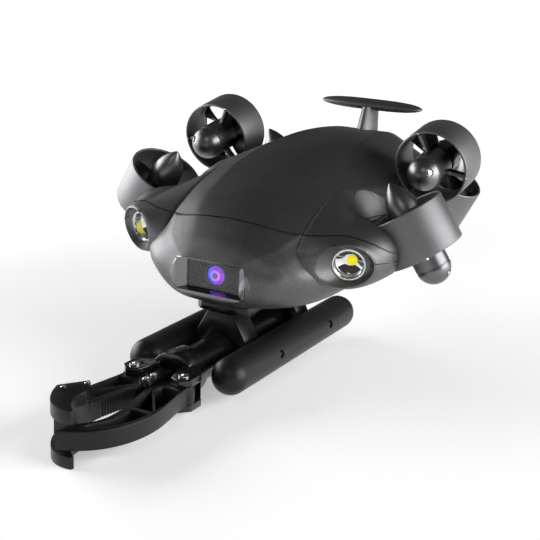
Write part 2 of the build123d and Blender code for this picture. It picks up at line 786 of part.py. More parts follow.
def other_tail_sweep(bottom, top):
    """What the left jaw's tail passes through, seen from the right jaw."""
    sweep = None
    tail = jaw_tail(bottom, top, 0.6)
    for step in range(sweep_steps + 1):
        angle = jaw_open_angle * step / sweep_steps
        seen = swung(left_of(swung(tail, angle)), -angle)
        sweep = seen if sweep is None else sweep + seen
    return sweep


def jaw_outline():
    """Plan of the right jaw, from its pivot to its hooked tip."""
    outer = [Vector(*p) for p in jaw_outer]
    inner = [Vector(*p) for p in jaw_inner]
    corner = [Vector(0.7, -140), Vector(3.0, -134), Vector(15.0, -124.5)]
    return Face(Wire([
        Edge.make_spline(outer),
        Edge.make_line(outer[-1], inner[0]),
        Edge.make_spline(inner),
        Edge.make_line(inner[-1], corner[0]),
        Edge.make_line(corner[0], corner[1]),
        Edge.make_line(corner[1], corner[2]),
        Edge.make_line(corner[2], outer[0]),
    ]))


def inner_edge_x(y):
    """How far the gripping edge stands from the middle at a place along the jaw."""
    for (x0, y0), (x1, y1) in zip(jaw_inner, jaw_inner[1:]):
        if y0 <= y <= y1:
            return x0 + (x1 - x0) * (y - y0) / (y1 - y0)
    return jaw_inner[-1][0]


def jaw_frame(tail_bottom, tail_top, other_bottom, other_top):
    """Body, pivot ear, slotted tail, truss and teeth of the right jaw."""
    body = prism(jaw_outline(), jaw_bottom_z, jaw_top_z)
    body = body - other_tail_sweep(other_bottom, other_top)
    body = body + upright(ear_r, pivot_x, pivot_y, jaw_bottom_z, jaw_top_z)
    body = body + jaw_tail(tail_bottom, tail_top)
    pocket = prism(Polygon(*jaw_pocket, align=None), jaw_bottom_z + jaw_floor, jaw_top_z + 1)
    for start, end, half_width in jaw_ribs:
        pocket = pocket - bar(start, end, half_width, jaw_bottom_z, jaw_top_z)
    pocket = pocket - upright(ear_r, pivot_x, pivot_y, jaw_bottom_z, jaw_top_z)
    start, end, half_width = jaw_slot
    body = body - pocket - bar(start, end, half_width, jaw_bottom_z - 1, jaw_top_z)
    for front, count in tooth_rows:
        for i in range(count):
            y = front + i * tooth_pitch
            body = body - upright(tooth_depth, inner_edge_x(y) - 0.2, y, jaw_bottom_z - 1, jaw_top_z + 1)
    body = body - upright(pivot_r + pivot_clearance, pivot_x, pivot_y, jaw_bottom_z - 1, jaw_top_z + 1)
    return body - tail_slot()


def prong_outline():
    """Plan of the left jaw's forked tip."""
    outer = [Vector(*p) for p in prong_outer]
    inner = [Vector(*p) for p in prong_inner]
    return Face(Wire([
        Edge.make_spline(outer),
        Edge.make_line(outer[-1], inner[0]),
        Edge.make_spline(inner),
        Edge.make_line(inner[-1], Vector(-14.9, -187.0)),
        Edge.make_line(Vector(-14.9, -187.0), outer[0]),
    ]))


def gripper_pieces():
    """Yoke, two jaws, pivot screws and the crosshead that opens and closes them."""
    middle = (tail_high_bottom_z + tail_low_top_z) / 2
    right = jaw_frame(tail_high_bottom_z, jaw_top_z - 0.3, jaw_bottom_z + 0.3, tail_low_top_z)
    low = jaw_frame(jaw_bottom_z + 0.3, tail_low_top_z, tail_high_bottom_z, jaw_top_z - 0.3)
    keep = Pos(0, -107.0, middle) * Box(200, 200, 60)
    left = left_of(low & keep)
    fork = prism(prong_outline(), prong_bottom_z, prong_top_z)
    mouth = Pos(0, -265.0, (fork_top_z + fork_bottom_z) / 2) * Box(120, 100, fork_top_z - fork_bottom_z)
    side = Pos(50.0 - 10.0, -235.0, (fork_top_z + fork_bottom_z) / 2) * Box(
        100, 80, fork_top_z - fork_bottom_z)
    left = left + (fork - mouth - side)
    for x, y in fork_rivets:
        left = left + upright(2.2, x, y, prong_top_z - 1, prong_top_z + 0.6)

    cheek = prism(Polygon(*cheek_plan, align=None), ear_bottom_z, ear_top_z)
    slot = Pos(0, -155.0, (ear_slot_top_z + ear_slot_bottom_z) / 2) * Box(
        100, 100, ear_slot_top_z - ear_slot_bottom_z)
    collar_front = collar_back_y - collar_length
    yoke = rod_along_y(collar_r, 0, arm_z, collar_front, collar_back_y) + both_sides(cheek - slot)
    yoke = yoke - rod_along_y(arm_r, 0, arm_z, arm_front_y, collar_back_y + 1)
    yoke = yoke - rod_along_y(rod_r + running_gap, 0, arm_z, collar_front - 1, arm_front_y + 1)
    screw = upright(pivot_r, pivot_x, pivot_y, ear_bottom_z, ear_top_z)
    screw = screw + upright(pivot_head_r, pivot_x, pivot_y, ear_top_z, ear_top_z + 1.2)
    hex_way = Pos(pivot_x, pivot_y, ear_top_z + 0.6) * extrude(RegularPolygon(2.2, 6), amount=1.0)
    screw = screw - hex_way
    yoke = yoke - both_sides(upright(pivot_r, pivot_x, pivot_y, ear_bottom_z - 1, ear_top_z + 1))

    wide = 2 * crosshead_half_width
    web_front, web_back = -114.5, -109.5
    web = Pos(0, (web_front + web_back) / 2, (crosshead_top_z + crosshead_bottom_z) / 2) * Box(
        wide, web_back - web_front, crosshead_top_z - crosshead_bottom_z)
    back = (0, web_back - crosshead_half_width)
    upper = bar(back, (0, keeper_pin_y), crosshead_half_width, ear_slot_top_z, crosshead_top_z)
    lower = bar(back, (0, drive_pin_y), crosshead_half_width, crosshead_bottom_z, ear_slot_bottom_z)
    crosshead = web + upper + lower
    crosshead = crosshead + upright(drive_pin_r, 0, drive_pin_y, crosshead_bottom_z, crosshead_top_z + 0.8)
    crosshead = crosshead + upright(2.4, 0, keeper_pin_y, crosshead_top_z - 1, crosshead_top_z + 1.0)
    crosshead = crosshead + rod_along_y(rod_r, 0, arm_z, web_back - 1, drive_rod_back_y)

    motor = rod_along_y(
        arm_r - arm_wall, 0, arm_z, drive_motor_front_y, drive_motor_front_y + drive_motor_length)
    motor = motor - rod_along_y(rod_r + running_gap, 0, arm_z, drive_motor_front_y - 1, drive_rod_back_y + 4)
    return {
        "right_jaw": right,
        "left_jaw": left,
        "gripper_yoke": yoke,
        "jaw_pivot_screws": Compound(children=screw.solids() + left_of(screw).solids()),
        "drive_crosshead": crosshead,
        "gripper_motor": motor,
    }


def inside_pieces():
    """Pressure housing with the battery pack and the control board in it."""
    tube = rod_along_y(housing_r, 0, housing_z, housing_front_y, housing_back_y)
    inner_r = housing_r - housing_wall
    tube = tube - rod_along_y(
        inner_r, 0, housing_z, housing_front_y + housing_wall, housing_back_y - housing_wall)
    middle_y = battery_front_y + battery_length / 2
    block = Pos(0, middle_y, housing_z + battery_top - 20) * Box(2 * battery_half_width, battery_length, 40)
    battery = block & rod_along_y(inner_r, 0, housing_z, battery_front_y, battery_front_y + battery_length)
    board_z = housing_z + battery_top
    board = Pos(0, middle_y, board_z + board_thickness / 2) * Box(
        2 * board_half_width, battery_length * 0.9, board_thickness)
    chips = ((-8, -30, 12, 12, 2.5), (6, -8, 9, 16, 4), (-7, 14, 14, 10, 3), (8, 34, 10, 10, 5))
    for x, y, wide, deep, tall in chips:
        board = board + Pos(x, middle_y + y, board_z + board_thickness + tall / 2) * Box(wide, deep, tall)
    return {"pressure_housing": tube, "battery_pack": battery, "control_board": board}


def tether_socket():
    """Collar with the bore that takes the tether's plug."""
    back = tail_y + socket_proud
    collar = rod_along_y(socket_collar_r, 0, socket_z, back - socket_collar_length, back)
    flange = rod_along_y(socket_collar_r + 2.0, 0, socket_z, tail_y, tail_y + 2.0)
    return collar + flange - rod_along_y(socket_r, 0, socket_z, back - socket_length, back + 1)


def build_hull():
    """The closed body of the hull, and the body with its ducts, cups and sockets cut."""
    central = whole_loft([hull_face(at) for at in hull_stations])
    inner = whole_loft([hull_face(at, hull_wall) for at in hull_stations[2:-1]])
    outer = central + both_sides(pod_body()) + both_sides(shoulder())
    outer = outer + both_sides(ring_pylon()) + both_sides(duct_pylon())
    outer = outer - both_sides(water_paths()) - both_sides(cup_cut())
    return central, inner, outer


def hull_shells(inner, outer):
    """Upper shell, lower shell and the seal between them."""
    hollow = inner - both_sides(water_paths(hull_wall))
    bezel_back = nose_y + bezel_depth
    shell = outer - hollow
    shell = shell - bezel_prism(nose_y - 5, bezel_back)
    shell = shell - window_opening(bezel_back - 1, bezel_back + camera_box_depth, camera_box_wall)
    back = tail_y + socket_proud
    shell = shell - rod_along_y(socket_collar_r, 0, socket_z, back - socket_collar_length, back)
    lower = shell & split_region()
    seal = (shell & split_region(seal_thickness)) - split_region()
    upper = shell - split_region(seal_thickness)
    tube = rod_along_y(housing_r, 0, housing_z, housing_front_y, housing_back_y)
    for y in cradle_places:
        slab = Pos(0, y, housing_z - 30) * Box(2 * cradle_half_width, cradle_thickness, 60)
        lower = lower + ((hollow & slab) - tube)
    lower = lower - plate_screw_set()
    return {"upper_hull_shell": upper, "lower_hull_shell": lower, "hull_seal": seal}


def save(name, shape):
    moved = to_row * shape
    export_step(moved, f"parts/{name}.step")


central, inner, outer = build_hull()
pieces = hull_shells(inner, outer)
pieces.update(camera_pieces(central))
for name, shape in light_pieces().items():
    pieces["right_" + name] = shape
    pieces["left_" + name] = left_of(shape)
pieces.update(handle_pieces(central))
pieces.update(thruster_pieces())
pieces.update(arm_mount_pieces(central))
pieces.update(gripper_pieces())
pieces.update(inside_pieces())
pieces["tether_socket"] = tether_socket()
pieces["hull_screws"] = Compound(children=plate_screw_set().solids())
for name, shape in pieces.items():
    if not shape.is_valid:
        print(name, "is not a closed solid")
    save(name, shape)
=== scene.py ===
import json
from math import cos, pi, radians, sin

import bmesh
import bpy
from mathutils import Matrix, Vector


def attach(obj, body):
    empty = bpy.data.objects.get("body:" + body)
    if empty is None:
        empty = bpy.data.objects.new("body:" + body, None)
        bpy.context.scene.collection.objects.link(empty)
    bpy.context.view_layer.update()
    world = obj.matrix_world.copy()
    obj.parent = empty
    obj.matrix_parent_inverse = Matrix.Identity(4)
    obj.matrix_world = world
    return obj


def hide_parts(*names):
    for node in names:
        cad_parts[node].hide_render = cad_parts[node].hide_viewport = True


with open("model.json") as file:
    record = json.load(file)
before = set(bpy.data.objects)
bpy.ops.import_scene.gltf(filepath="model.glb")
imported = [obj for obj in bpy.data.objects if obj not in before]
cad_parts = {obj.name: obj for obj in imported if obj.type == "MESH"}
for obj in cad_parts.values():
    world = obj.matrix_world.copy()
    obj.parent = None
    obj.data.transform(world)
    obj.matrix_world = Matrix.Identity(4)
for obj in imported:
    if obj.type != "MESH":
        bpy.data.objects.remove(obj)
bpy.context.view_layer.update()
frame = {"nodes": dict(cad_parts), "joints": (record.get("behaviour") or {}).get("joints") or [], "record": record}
nodes = frame["nodes"]
hullBody = "hull"
print("frame loaded:", len(nodes), "nodes")


def newObject(name, data):
    thing = bpy.data.objects.new(name, data)
    bpy.context.scene.collection.objects.link(thing)
    return thing


def axesMatrix(x, y, z, origin):
    return Matrix.Translation(origin) @ Matrix((x, y, z)).transposed().to_4x4()


# camera at the photograph's angle, as fitted to the hull, the ducts and the floats

camera = {
    "turn": 27.936,   # degrees round the object, from straight in front
    "rise": 16.488,   # degrees above the floor
    "roll": 2.459,
    "lens": 79.69,
    "place": (0.4708, -0.8782, 0.3678),
}


def cameraAxes():
    turn, rise, roll = (radians(camera[k]) for k in ("turn", "rise", "roll"))
    level = Vector((cos(turn), sin(turn), 0))
    back = Vector((sin(turn) * cos(rise), -cos(turn) * cos(rise), sin(rise)))
    over = back.cross(level)
    right = level * cos(roll) + over * sin(roll)
    up = over * cos(roll) - level * sin(roll)
    return right, up, back


def placeCamera():
    data = bpy.data.cameras.new("photoCamera")
    data.lens = camera["lens"]
    data.sensor_width = 36
    data.clip_start = 0.01
    seen = newObject("photoCamera", data)
    seen.matrix_world = axesMatrix(*cameraAxes(), camera["place"])
    bpy.context.scene.camera = seen


placeCamera()
print("camera placed")


# shader groups that several finishes share

def newGroup(name, inputs, outputs):
    group = bpy.data.node_groups.new(name, "ShaderNodeTree")
    for label, kind, value in inputs:
        socket = group.interface.new_socket(label, in_out="INPUT", socket_type=kind)
        socket.default_value = value
    for label, kind in outputs:
        group.interface.new_socket(label, in_out="OUTPUT", socket_type=kind)
    return group, group.nodes.new("NodeGroupInput"), group.nodes.new("NodeGroupOutput")


def feed(tree, socket, value):
    # a link from another node's output, or a constant
    if isinstance(value, bpy.types.NodeSocket):
        tree.links.new(value, socket)
    else:
        socket.default_value = value


def feedAll(tree, node, values):
    for label, value in values.items():
        feed(tree, node.inputs[label], value)


def noiseOf(tree, vector, scale, detail=4.0, rough=0.55):
    node = tree.nodes.new("ShaderNodeTexNoise")
    feedAll(tree, node, {"Vector": vector, "Scale": scale, "Detail": detail, "Roughness": rough})
    return node.outputs["Fac"]


def rangeOf(tree, source, low, high, toLow=0.0, toHigh=1.0):
    node = tree.nodes.new("ShaderNodeMapRange")
    feedAll(tree, node, {
        "Value": source, "From Min": low, "From Max": high, "To Min": toLow, "To Max": toHigh})
    return node.outputs["Result"]


def mathOf(tree, operation, *values):
    node = tree.nodes.new("ShaderNodeMath")
    node.operation = operation
    feedAll(tree, node, dict(enumerate(values)))
    return node.outputs[0]


def vectorOf(tree, operation, first, second=None):
    node = tree.nodes.new("ShaderNodeVectorMath")
    node.operation = operation
    feed(tree, node.inputs[0], first)
    if second is not None:
        feed(tree, node.inputs["Scale" if operation == "SCALE" else 1], second)
    return node.outputs["Value" if operation == "LENGTH" else "Vector"]


def blendOf(tree, factor, a, b):
    node = tree.nodes.new("ShaderNodeMix")
    node.data_type = "RGBA"
    feedAll(tree, node, {"Factor": factor, "A": a, "B": b})
    return node.outputs["Result"]


def makeSpeckle():
    # fine grains of lighter pigment, with soft clouds under them
    group, start, end = newGroup("pigmentSpeckle", [
        ("Vector", "NodeSocketVector", (0, 0, 0)),
        ("Base", "NodeSocketColor", (0.05, 0.05, 0.05, 1)),
        ("Grain", "NodeSocketColor", (0.2, 0.2, 0.2, 1)),
        ("Grain Scale", "NodeSocketFloat", 1800.0),
        ("Amount", "NodeSocketFloat", 0.4),
    ], [("Color", "NodeSocketColor"), ("Mask", "NodeSocketFloat")])
    fine = noiseOf(group, start.outputs["Vector"], start.outputs["Grain Scale"], 2.0, 0.7)
    soft = noiseOf(group, start.outputs["Vector"], 9.0, 3.0)
    grains = rangeOf(group, fine, 0.5, 0.74)
    clouds = rangeOf(group, soft, 0.3, 0.7, 0.75, 1.1)
    share = mathOf(group, "MULTIPLY", grains, start.outputs["Amount"])
    pigment = blendOf(group, share, start.outputs["Base"], start.outputs["Grain"])
    feedAll(group, end, {"Color": vectorOf(group, "SCALE", pigment, clouds), "Mask": grains})
    return group


def makeHandling():
    # faint smears and rubbed patches that only change the gloss
    group, start, end = newGroup("handlingMarks", [
        ("Vector", "NodeSocketVector", (0, 0, 0)),
        ("Patch Scale", "NodeSocketFloat", 14.0),
        ("Low", "NodeSocketFloat", 0.3),
        ("High", "NodeSocketFloat", 0.5),
    ], [("Roughness", "NodeSocketFloat"), ("Mask", "NodeSocketFloat")])
    broad = noiseOf(group, start.outputs["Vector"], start.outputs["Patch Scale"], 5.0, 0.6)
    thin = noiseOf(group, start.outputs["Vector"], 160.0, 3.0, 0.6)
    marks = mathOf(group, "MULTIPLY_ADD", thin, 0.3, rangeOf(group, broad, 0.35, 0.75, 0.0, 0.7))
    gloss = rangeOf(group, marks, 0.0, 1.0, start.outputs["Low"], start.outputs["High"])
    feedAll(group, end, {"Roughness": gloss, "Mask": marks})
    return group


def makeBrushed():
    # long scratches along one axis
    group, start, end = newGroup("brushedLines", [
        ("Vector", "NodeSocketVector", (0, 0, 0)),
        ("Stretch", "NodeSocketVector", (20, 900, 900)),
        ("Dark", "NodeSocketFloat", 0.8),
    ], [("Tone", "NodeSocketFloat"), ("Height", "NodeSocketFloat")])
    stretched = vectorOf(group, "MULTIPLY", start.outputs["Vector"], start.outputs["Stretch"])
    lines = noiseOf(group, stretched, 1.0, 4.0, 0.65)
    tone = rangeOf(group, lines, 0.3, 0.7, start.outputs["Dark"], 1.0)
    feedAll(group, end, {"Tone": tone, "Height": lines})
    return group


speckleGroup = makeSpeckle()
handlingGroup = makeHandling()
brushedGroup = makeBrushed()
print("shader groups made")


# finishes

def startMaterial(name):
    material = bpy.data.materials.new(name)
    material.use_nodes = True
    tree = material.node_tree
    shader = tree.nodes["Principled BSDF"]
    place = tree.nodes.new("ShaderNodeTexCoord").outputs["Object"]
    return material, tree, shader, place


def useGroup(tree, group, place, **values):
    node = tree.nodes.new("ShaderNodeGroup")
    node.node_tree = group
    tree.links.new(place, node.inputs["Vector"])
    for label, value in values.items():
        node.inputs[label.replace("_", " ")].default_value = value
    return node


def addBump(tree, shader, height, distance, strength):
    bump = tree.nodes.new("ShaderNodeBump")
    feedAll(tree, bump, {"Distance": distance, "Strength": strength, "Height": height})
    feed(tree, shader.inputs["Normal"], bump.outputs["Normal"])


def grey(level, blue=1.03):
    return (level, level, level * blue, 1)


def moulded(name, look):
    # moulded or painted surface: speckled pigment, handling marks, fine orange peel
    material, tree, shader, place = startMaterial(name)
    pigment = useGroup(tree, speckleGroup, place, Base=grey(look["base"]), Grain=grey(look["grain"]),
                       Grain_Scale=look["grainScale"], Amount=look["amount"])
    marks = useGroup(tree, handlingGroup, place, Low=look["gloss"][0], High=look["gloss"][1])
    feedAll(tree, shader, {
        "Base Color": pigment.outputs["Color"],
        "Roughness": marks.outputs["Roughness"],
        "Metallic": look.get("metal", 0.0),
        "Specular IOR Level": look.get("specular", 0.5),
        "Coat Weight": look.get("coat", 0.0),
        "Coat Roughness": 0.1,
    })
    addBump(tree, shader, noiseOf(tree, place, look["peelScale"], 3.0, 0.6), look["peelDepth"], 0.5)
    return material


def brushed(name, look):
    material, tree, shader, place = startMaterial(name)
    lines = useGroup(tree, brushedGroup, place, Stretch=look["stretch"], Dark=look["dark"])
    low, high = look["gloss"]
    marks = useGroup(tree, handlingGroup, place, Patch_Scale=40.0, Low=low, High=high)
    feedAll(tree, shader, {
        "Base Color": vectorOf(tree, "SCALE", look["colour"], lines.outputs["Tone"]),
        "Roughness": marks.outputs["Roughness"],
        "Metallic": 1.0,
    })
    addBump(tree, shader, lines.outputs["Height"], look["depth"], 0.3)
    return material


finishes = {
    "hull": moulded("hullSatin", dict(
        base=0.14, grain=0.5, grainScale=1500.0, amount=0.4, gloss=(0.46, 0.52), metal=0.9, specular=0.3,
        peelScale=900.0, peelDepth=0.00006)),
    "duct": moulded("ductSatin", dict(
        base=0.19, grain=0.45, grainScale=1500.0, amount=0.3, gloss=(0.48, 0.54), metal=0.85,
        peelScale=900.0, peelDepth=0.00005)),
    "pod": moulded("podGloss", dict(
        base=0.2, grain=0.32, grainScale=1800.0, amount=0.2, gloss=(0.34, 0.4), metal=0.97,
        peelScale=600.0, peelDepth=0.00003)),
    "propeller": moulded("propellerGloss", dict(
        base=0.01, grain=0.03, grainScale=1800.0, amount=0.2, gloss=(0.22, 0.34),
        peelScale=500.0, peelDepth=0.00003)),
    "handle": moulded("handleSatin", dict(
        base=0.13, grain=0.45, grainScale=1500.0, amount=0.35, gloss=(0.48, 0.56), metal=0.85,
        peelScale=900.0, peelDepth=0.00006)),
    "float": moulded("floatSatin", dict(
        base=0.02, grain=0.08, grainScale=1700.0, amount=0.35, gloss=(0.38, 0.46), metal=0.5, specular=0.3,
        peelScale=1000.0, peelDepth=0.00006)),
    "arm": moulded("armAnodised", dict(
        base=0.006, grain=0.02, grainScale=2200.0, amount=0.3, gloss=(0.14, 0.22), coat=0.3,
        peelScale=1500.0, peelDepth=0.00002)),
    "mount": moulded("mountBlack", dict(
        base=0.006, grain=0.03, grainScale=1800.0, amount=0.35, gloss=(0.26, 0.34), specular=0.35,
        peelScale=1100.0, peelDepth=0.00006)),
    "claw": moulded("clawMatte", dict(
        base=0.006, grain=0.03, grainScale=2400.0, amount=0.45, gloss=(0.3, 0.38), specular=0.35,
        peelScale=1600.0, peelDepth=0.00007)),
    "rubber": moulded("sealRubber", dict(
        base=0.012, grain=0.03, grainScale=2400.0, amount=0.3, gloss=(0.6, 0.75),
        peelScale=1600.0, peelDepth=0.00004)),
    "board": moulded("boardMask", dict(
        base=0.04, grain=0.08, grainScale=900.0, amount=0.3, gloss=(0.3, 0.4),
        peelScale=900.0, peelDepth=0.00004)),
    "bezel": brushed("bezelBrushed", dict(
        colour=(0.24, 0.24, 0.245), stretch=(30, 900, 900), dark=0.8, gloss=(0.3, 0.38), depth=0.00002)),
    "steel": brushed("screwSteel", dict(
        colour=(0.72, 0.72, 0.73), stretch=(900, 900, 60), dark=0.85, gloss=(0.16, 0.28), depth=0.00002)),
    "darkSteel": brushed("blackSteel", dict(
        colour=(0.06, 0.06, 0.065), stretch=(900, 900, 60), dark=0.8, gloss=(0.3, 0.4), depth=0.00002)),
    "copper": brushed("windingWire", dict(
        colour=(0.62, 0.28, 0.12), stretch=(1500, 1500, 60), dark=0.5, gloss=(0.3, 0.4), depth=0.0001)),
}


def plainShader(name, look):
    material, tree, shader, place = startMaterial(name)
    for label, value in look.items():
        shader.inputs[label].default_value = value
    return material, tree, shader, place


def mirrorFinish():
    material, tree, shader, place = plainShader("reflectorChrome", {"Metallic": 1.0})
    marks = useGroup(tree, handlingGroup, place, Patch_Scale=120.0, Low=0.04, High=0.1)
    tone = rangeOf(tree, marks.outputs["Mask"], 0.0, 1.0, 0.8, 0.65)
    feedAll(tree, shader, {
        "Base Color": vectorOf(tree, "SCALE", (1.0, 1.0, 1.02), tone),
        "Roughness": marks.outputs["Roughness"],
    })
    return material


def ledFinish():
    # phosphor: fine crystal grain in a warm yellow, made to glow as painted light
    material, tree, shader, place = plainShader("ledPhosphorPaintedGlow", {
        "Roughness": 0.35, "Coat Weight": 0.6, "Emission Strength": 0.55})
    grain = noiseOf(tree, place, 2600.0, 2.0)
    yellow = blendOf(tree, grain, (0.97, 0.82, 0.0, 1), (1.0, 0.92, 0.01, 1))
    feedAll(tree, shader, {"Base Color": yellow, "Emission Color": yellow})
    return material


def lensFinish():
    # coated glass: painted reflections in rings of violet and blue round the lens axis, dark in the middle; the
    # lens glows with them though it is no lamp
    material, tree, shader, place = plainShader("lensPaintedReflection", {
        "Roughness": 0.08, "Coat Weight": 1.0, "Emission Strength": 1.3})
    mapping = tree.nodes.new("ShaderNodeMapping")
    feedAll(tree, mapping, {"Vector": place, "Location": (0, 0, -0.088), "Scale": (1, 0, 1)})
    distance = vectorOf(tree, "LENGTH", mapping.outputs["Vector"])
    ramp = tree.nodes.new("ShaderNodeValToRGB")
    stops = [(0.0, (0.01, 0.01, 0.05, 1)), (0.12, (0.02, 0.2, 0.8, 1)), (0.22, (0.01, 0.01, 0.12, 1)),
             (0.4, (0.75, 0.4, 1.0, 1)), (0.52, (0.85, 0.15, 0.9, 1)), (0.7, (0.1, 0.05, 0.8, 1)),
             (0.84, (0.3, 0.15, 0.95, 1)), (1.0, (0.02, 0.01, 0.12, 1))]
    ramp.color_ramp.elements[0].position, ramp.color_ramp.elements[0].color = stops[0]
    ramp.color_ramp.elements[1].position, ramp.color_ramp.elements[1].color = stops[-1]
    for position, colour in stops[1:-1]:
        ramp.color_ramp.elements.new(position).color = colour
    feed(tree, ramp.inputs["Fac"], rangeOf(tree, distance, 0.0, 0.0083))
    # the painted reflections turn from blue on one side to magenta on the other
    apart = tree.nodes.new("ShaderNodeSeparateXYZ")
    feed(tree, apart.inputs["Vector"], place)
    aside = rangeOf(tree, apart.outputs["X"], -0.006, 0.005)
    hue = blendOf(tree, aside, (0.15, 0.75, 1.0, 1), (1.0, 0.45, 0.75, 1))
    paintedReflection = vectorOf(tree, "MULTIPLY", ramp.outputs["Color"], hue)
    # the painted reflections go into the emission as well as the base colour
    feedAll(tree, shader, {"Base Color": paintedReflection, "Emission Color": paintedReflection})
    return material


def windowFinish():
    material, tree, shader, place = plainShader("windowGlass", {
        "Transmission Weight": 1.0, "IOR": 1.45, "Specular IOR Level": 0.2})
    marks = useGroup(tree, handlingGroup, place, Patch_Scale=60.0, Low=0.0, High=0.03)
    tree.links.new(marks.outputs["Roughness"], shader.inputs["Roughness"])
    return material


def lipFinish():
    # dark lacquer under a hard clear coat, bright only where it is seen at a slant
    material, tree, shader, place = plainShader("bezelLipLacquer", {
        "Coat Weight": 1.0, "Coat IOR": 2.4, "Coat Roughness": 0.14, "Roughness": 0.4})
    pigment = useGroup(tree, speckleGroup, place, Base=grey(0.015), Grain=grey(0.05), Grain_Scale=2000.0,
                       Amount=0.3)
    tree.links.new(pigment.outputs["Color"], shader.inputs["Base Color"])
    return material


finishes["bezelLip"] = lipFinish()
finishes["mirror"] = mirrorFinish()
finishes["led"] = ledFinish()
finishes["lens"] = lensFinish()
finishes["window"] = windowFinish()
print("finishes made:", len(finishes))


# shaping tools

mm = 0.001
toRow = Vector((0, -44 * mm, 105 * mm))  # from the hull's own frame, midway between the front lights


def at(x, y, z):
    return Vector((x, y, z)) * mm + toRow


weld = 0.000002   # corners nearer than this in metres are one corner


def meshFrom(shape, name, smoothTo=35):
    for face in shape.faces:
        face.smooth = True
    mesh = bpy.data.meshes.new(name)
    shape.to_mesh(mesh)
    shape.free()
    mesh.set_sharp_from_angle(angle=radians(smoothTo))
    return mesh


def tempObject(mesh):
    return newObject(mesh.name, mesh)


def applied(thing, name, smoothTo=35):
    # the mesh with its modifiers in it, and the object gone
    result = bpy.data.meshes.new_from_object(thing.evaluated_get(bpy.context.evaluated_depsgraph_get()))
    bpy.data.objects.remove(thing)
    result.name = name
    result.shade_smooth()
    result.set_sharp_from_angle(angle=radians(smoothTo))
    return result


def sharpenTop(mesh, angle):
    # the ridges either side of the crown are shallow, so they are marked sharp on their own
    shape = bmesh.new()
    shape.from_mesh(mesh)
    for edge in shape.edges:
        if len(edge.link_faces) == 2 and edge.calc_face_angle() > radians(angle):
            if all(face.normal.z > 0.8 for face in edge.link_faces) and abs(edge.verts[0].co.x) < 45 * mm:
                edge.smooth = False
    shape.to_mesh(mesh)
    shape.free()
    return mesh


def carve(mesh, tool, operation="DIFFERENCE", smoothTo=35):
    body, cutter = tempObject(mesh), tempObject(tool)
    cut = body.modifiers.new("cut", "BOOLEAN")
    cut.operation = operation
    cut.solver = "MANIFOLD"
    cut.object = cutter
    result = applied(body, mesh.name, smoothTo)
    bpy.data.objects.remove(cutter)
    return result


def joined(name, *meshes):
    shape = bmesh.new()
    for mesh in meshes:
        shape.from_mesh(mesh)
    return meshFrom(shape, name)


def mirrored(mesh):
    shape = bmesh.new()
    shape.from_mesh(mesh)
    bmesh.ops.scale(shape, verts=shape.verts, vec=(-1, 1, 1))
    bmesh.ops.reverse_faces(shape, faces=shape.faces)
    return meshFrom(shape, mesh.name + "Left")


def moved(mesh, matrix):
    mesh.transform(matrix)
    return mesh


def wrapGrid(name, around, along, place, smoothTo=35):
    # a closed tube with capped ends: every corner of a grid is set on the surface
    shape = bmesh.new()
    bmesh.ops.create_grid(shape, x_segments=around, y_segments=along, size=0.5)
    for vert in shape.verts:
        vert.co = place(vert.co.x + 0.5, vert.co.y + 0.5)
    bmesh.ops.remove_doubles(shape, verts=shape.verts, dist=weld)
    bmesh.ops.holes_fill(shape, edges=[e for e in shape.edges if e.is_boundary], sides=0)
    bmesh.ops.recalc_face_normals(shape, faces=shape.faces)
    return meshFrom(shape, name, smoothTo)


def turned(name, profile, steps=96, smoothTo=35):
    # a profile of (radius, height) in millimetres, spun round Z
    shape = bmesh.new()
    verts = [shape.verts.new((r * mm, 0, z * mm)) for r, z in profile]
    closed = profile[0][0] > 0 or profile[-1][0] > 0
    edges = [shape.edges.new(pair) for pair in zip(verts, verts[1:])]
    if closed:
        edges.append(shape.edges.new((verts[-1], verts[0])))
    bmesh.ops.spin(shape, geom=verts + edges, cent=(0, 0, 0), axis=(0, 0, 1),
                   angle=2 * pi, steps=steps, use_merge=True)
    bmesh.ops.remove_doubles(shape, verts=shape.verts, dist=weld)
    bmesh.ops.recalc_face_normals(shape, faces=shape.faces)
    return meshFrom(shape, name, smoothTo)


def rounding(centre, radius, start, stop, steps=6):
    # points of an arc in a profile, between two angles in degrees
    return [(centre[0] + radius * cos(radians(start + (stop - start) * i / steps)),
             centre[1] + radius * sin(radians(start + (stop - start) * i / steps))) for i in range(steps + 1)]


def block(name, low, high, bevel=0.0):
    shape = bmesh.new()
    bmesh.ops.create_cube(shape, size=1)
    bmesh.ops.scale(shape, verts=shape.verts, vec=[b - a for a, b in zip(low, high)])
    bmesh.ops.translate(shape, verts=shape.verts, vec=[(a + b) / 2 for a, b in zip(low, high)])
    if bevel:
        bmesh.ops.bevel(shape, geom=shape.edges[:], offset=bevel, affect="EDGES", segments=3, profile=0.5,
                        material=-1)
    return meshFrom(shape, name)


def drum(name, radius, low, high, steps=96):
    shape = bmesh.new()
    bmesh.ops.create_cone(shape, cap_ends=True, segments=steps, radius1=radius * mm, radius2=radius * mm,
                          depth=(high - low) * mm)
    bmesh.ops.translate(shape, verts=shape.verts, vec=(0, 0, (high + low) / 2 * mm))
    return meshFrom(shape, name)


def curveThrough(values, places, wanted):
    # smooth curve through values at places, read at one wanted place
    last = len(places) - 1
    i = max(0, min(last - 1, sum(p <= wanted for p in places) - 1))
    span = places[i + 1] - places[i]
    t = (wanted - places[i]) / span

    def slope(k):
        if k == 0:
            return (values[1] - values[0]) / (places[1] - places[0])
        if k == last:
            return (values[last] - values[last - 1]) / (places[last] - places[last - 1])
        before, after = places[k] - places[k - 1], places[k + 1] - places[k]
        rise = (values[k] - values[k - 1]) / before * after + (values[k + 1] - values[k]) / after * before
        return rise / (before + after)

    h00, h10 = 2 * t**3 - 3 * t**2 + 1, t**3 - 2 * t**2 + t
    h01, h11 = -2 * t**3 + 3 * t**2, t**3 - t**2
    return (values[i] * h00 + slope(i) * (h10 * span)
            + values[i + 1] * h01 + slope(i + 1) * (h11 * span))


# pieces

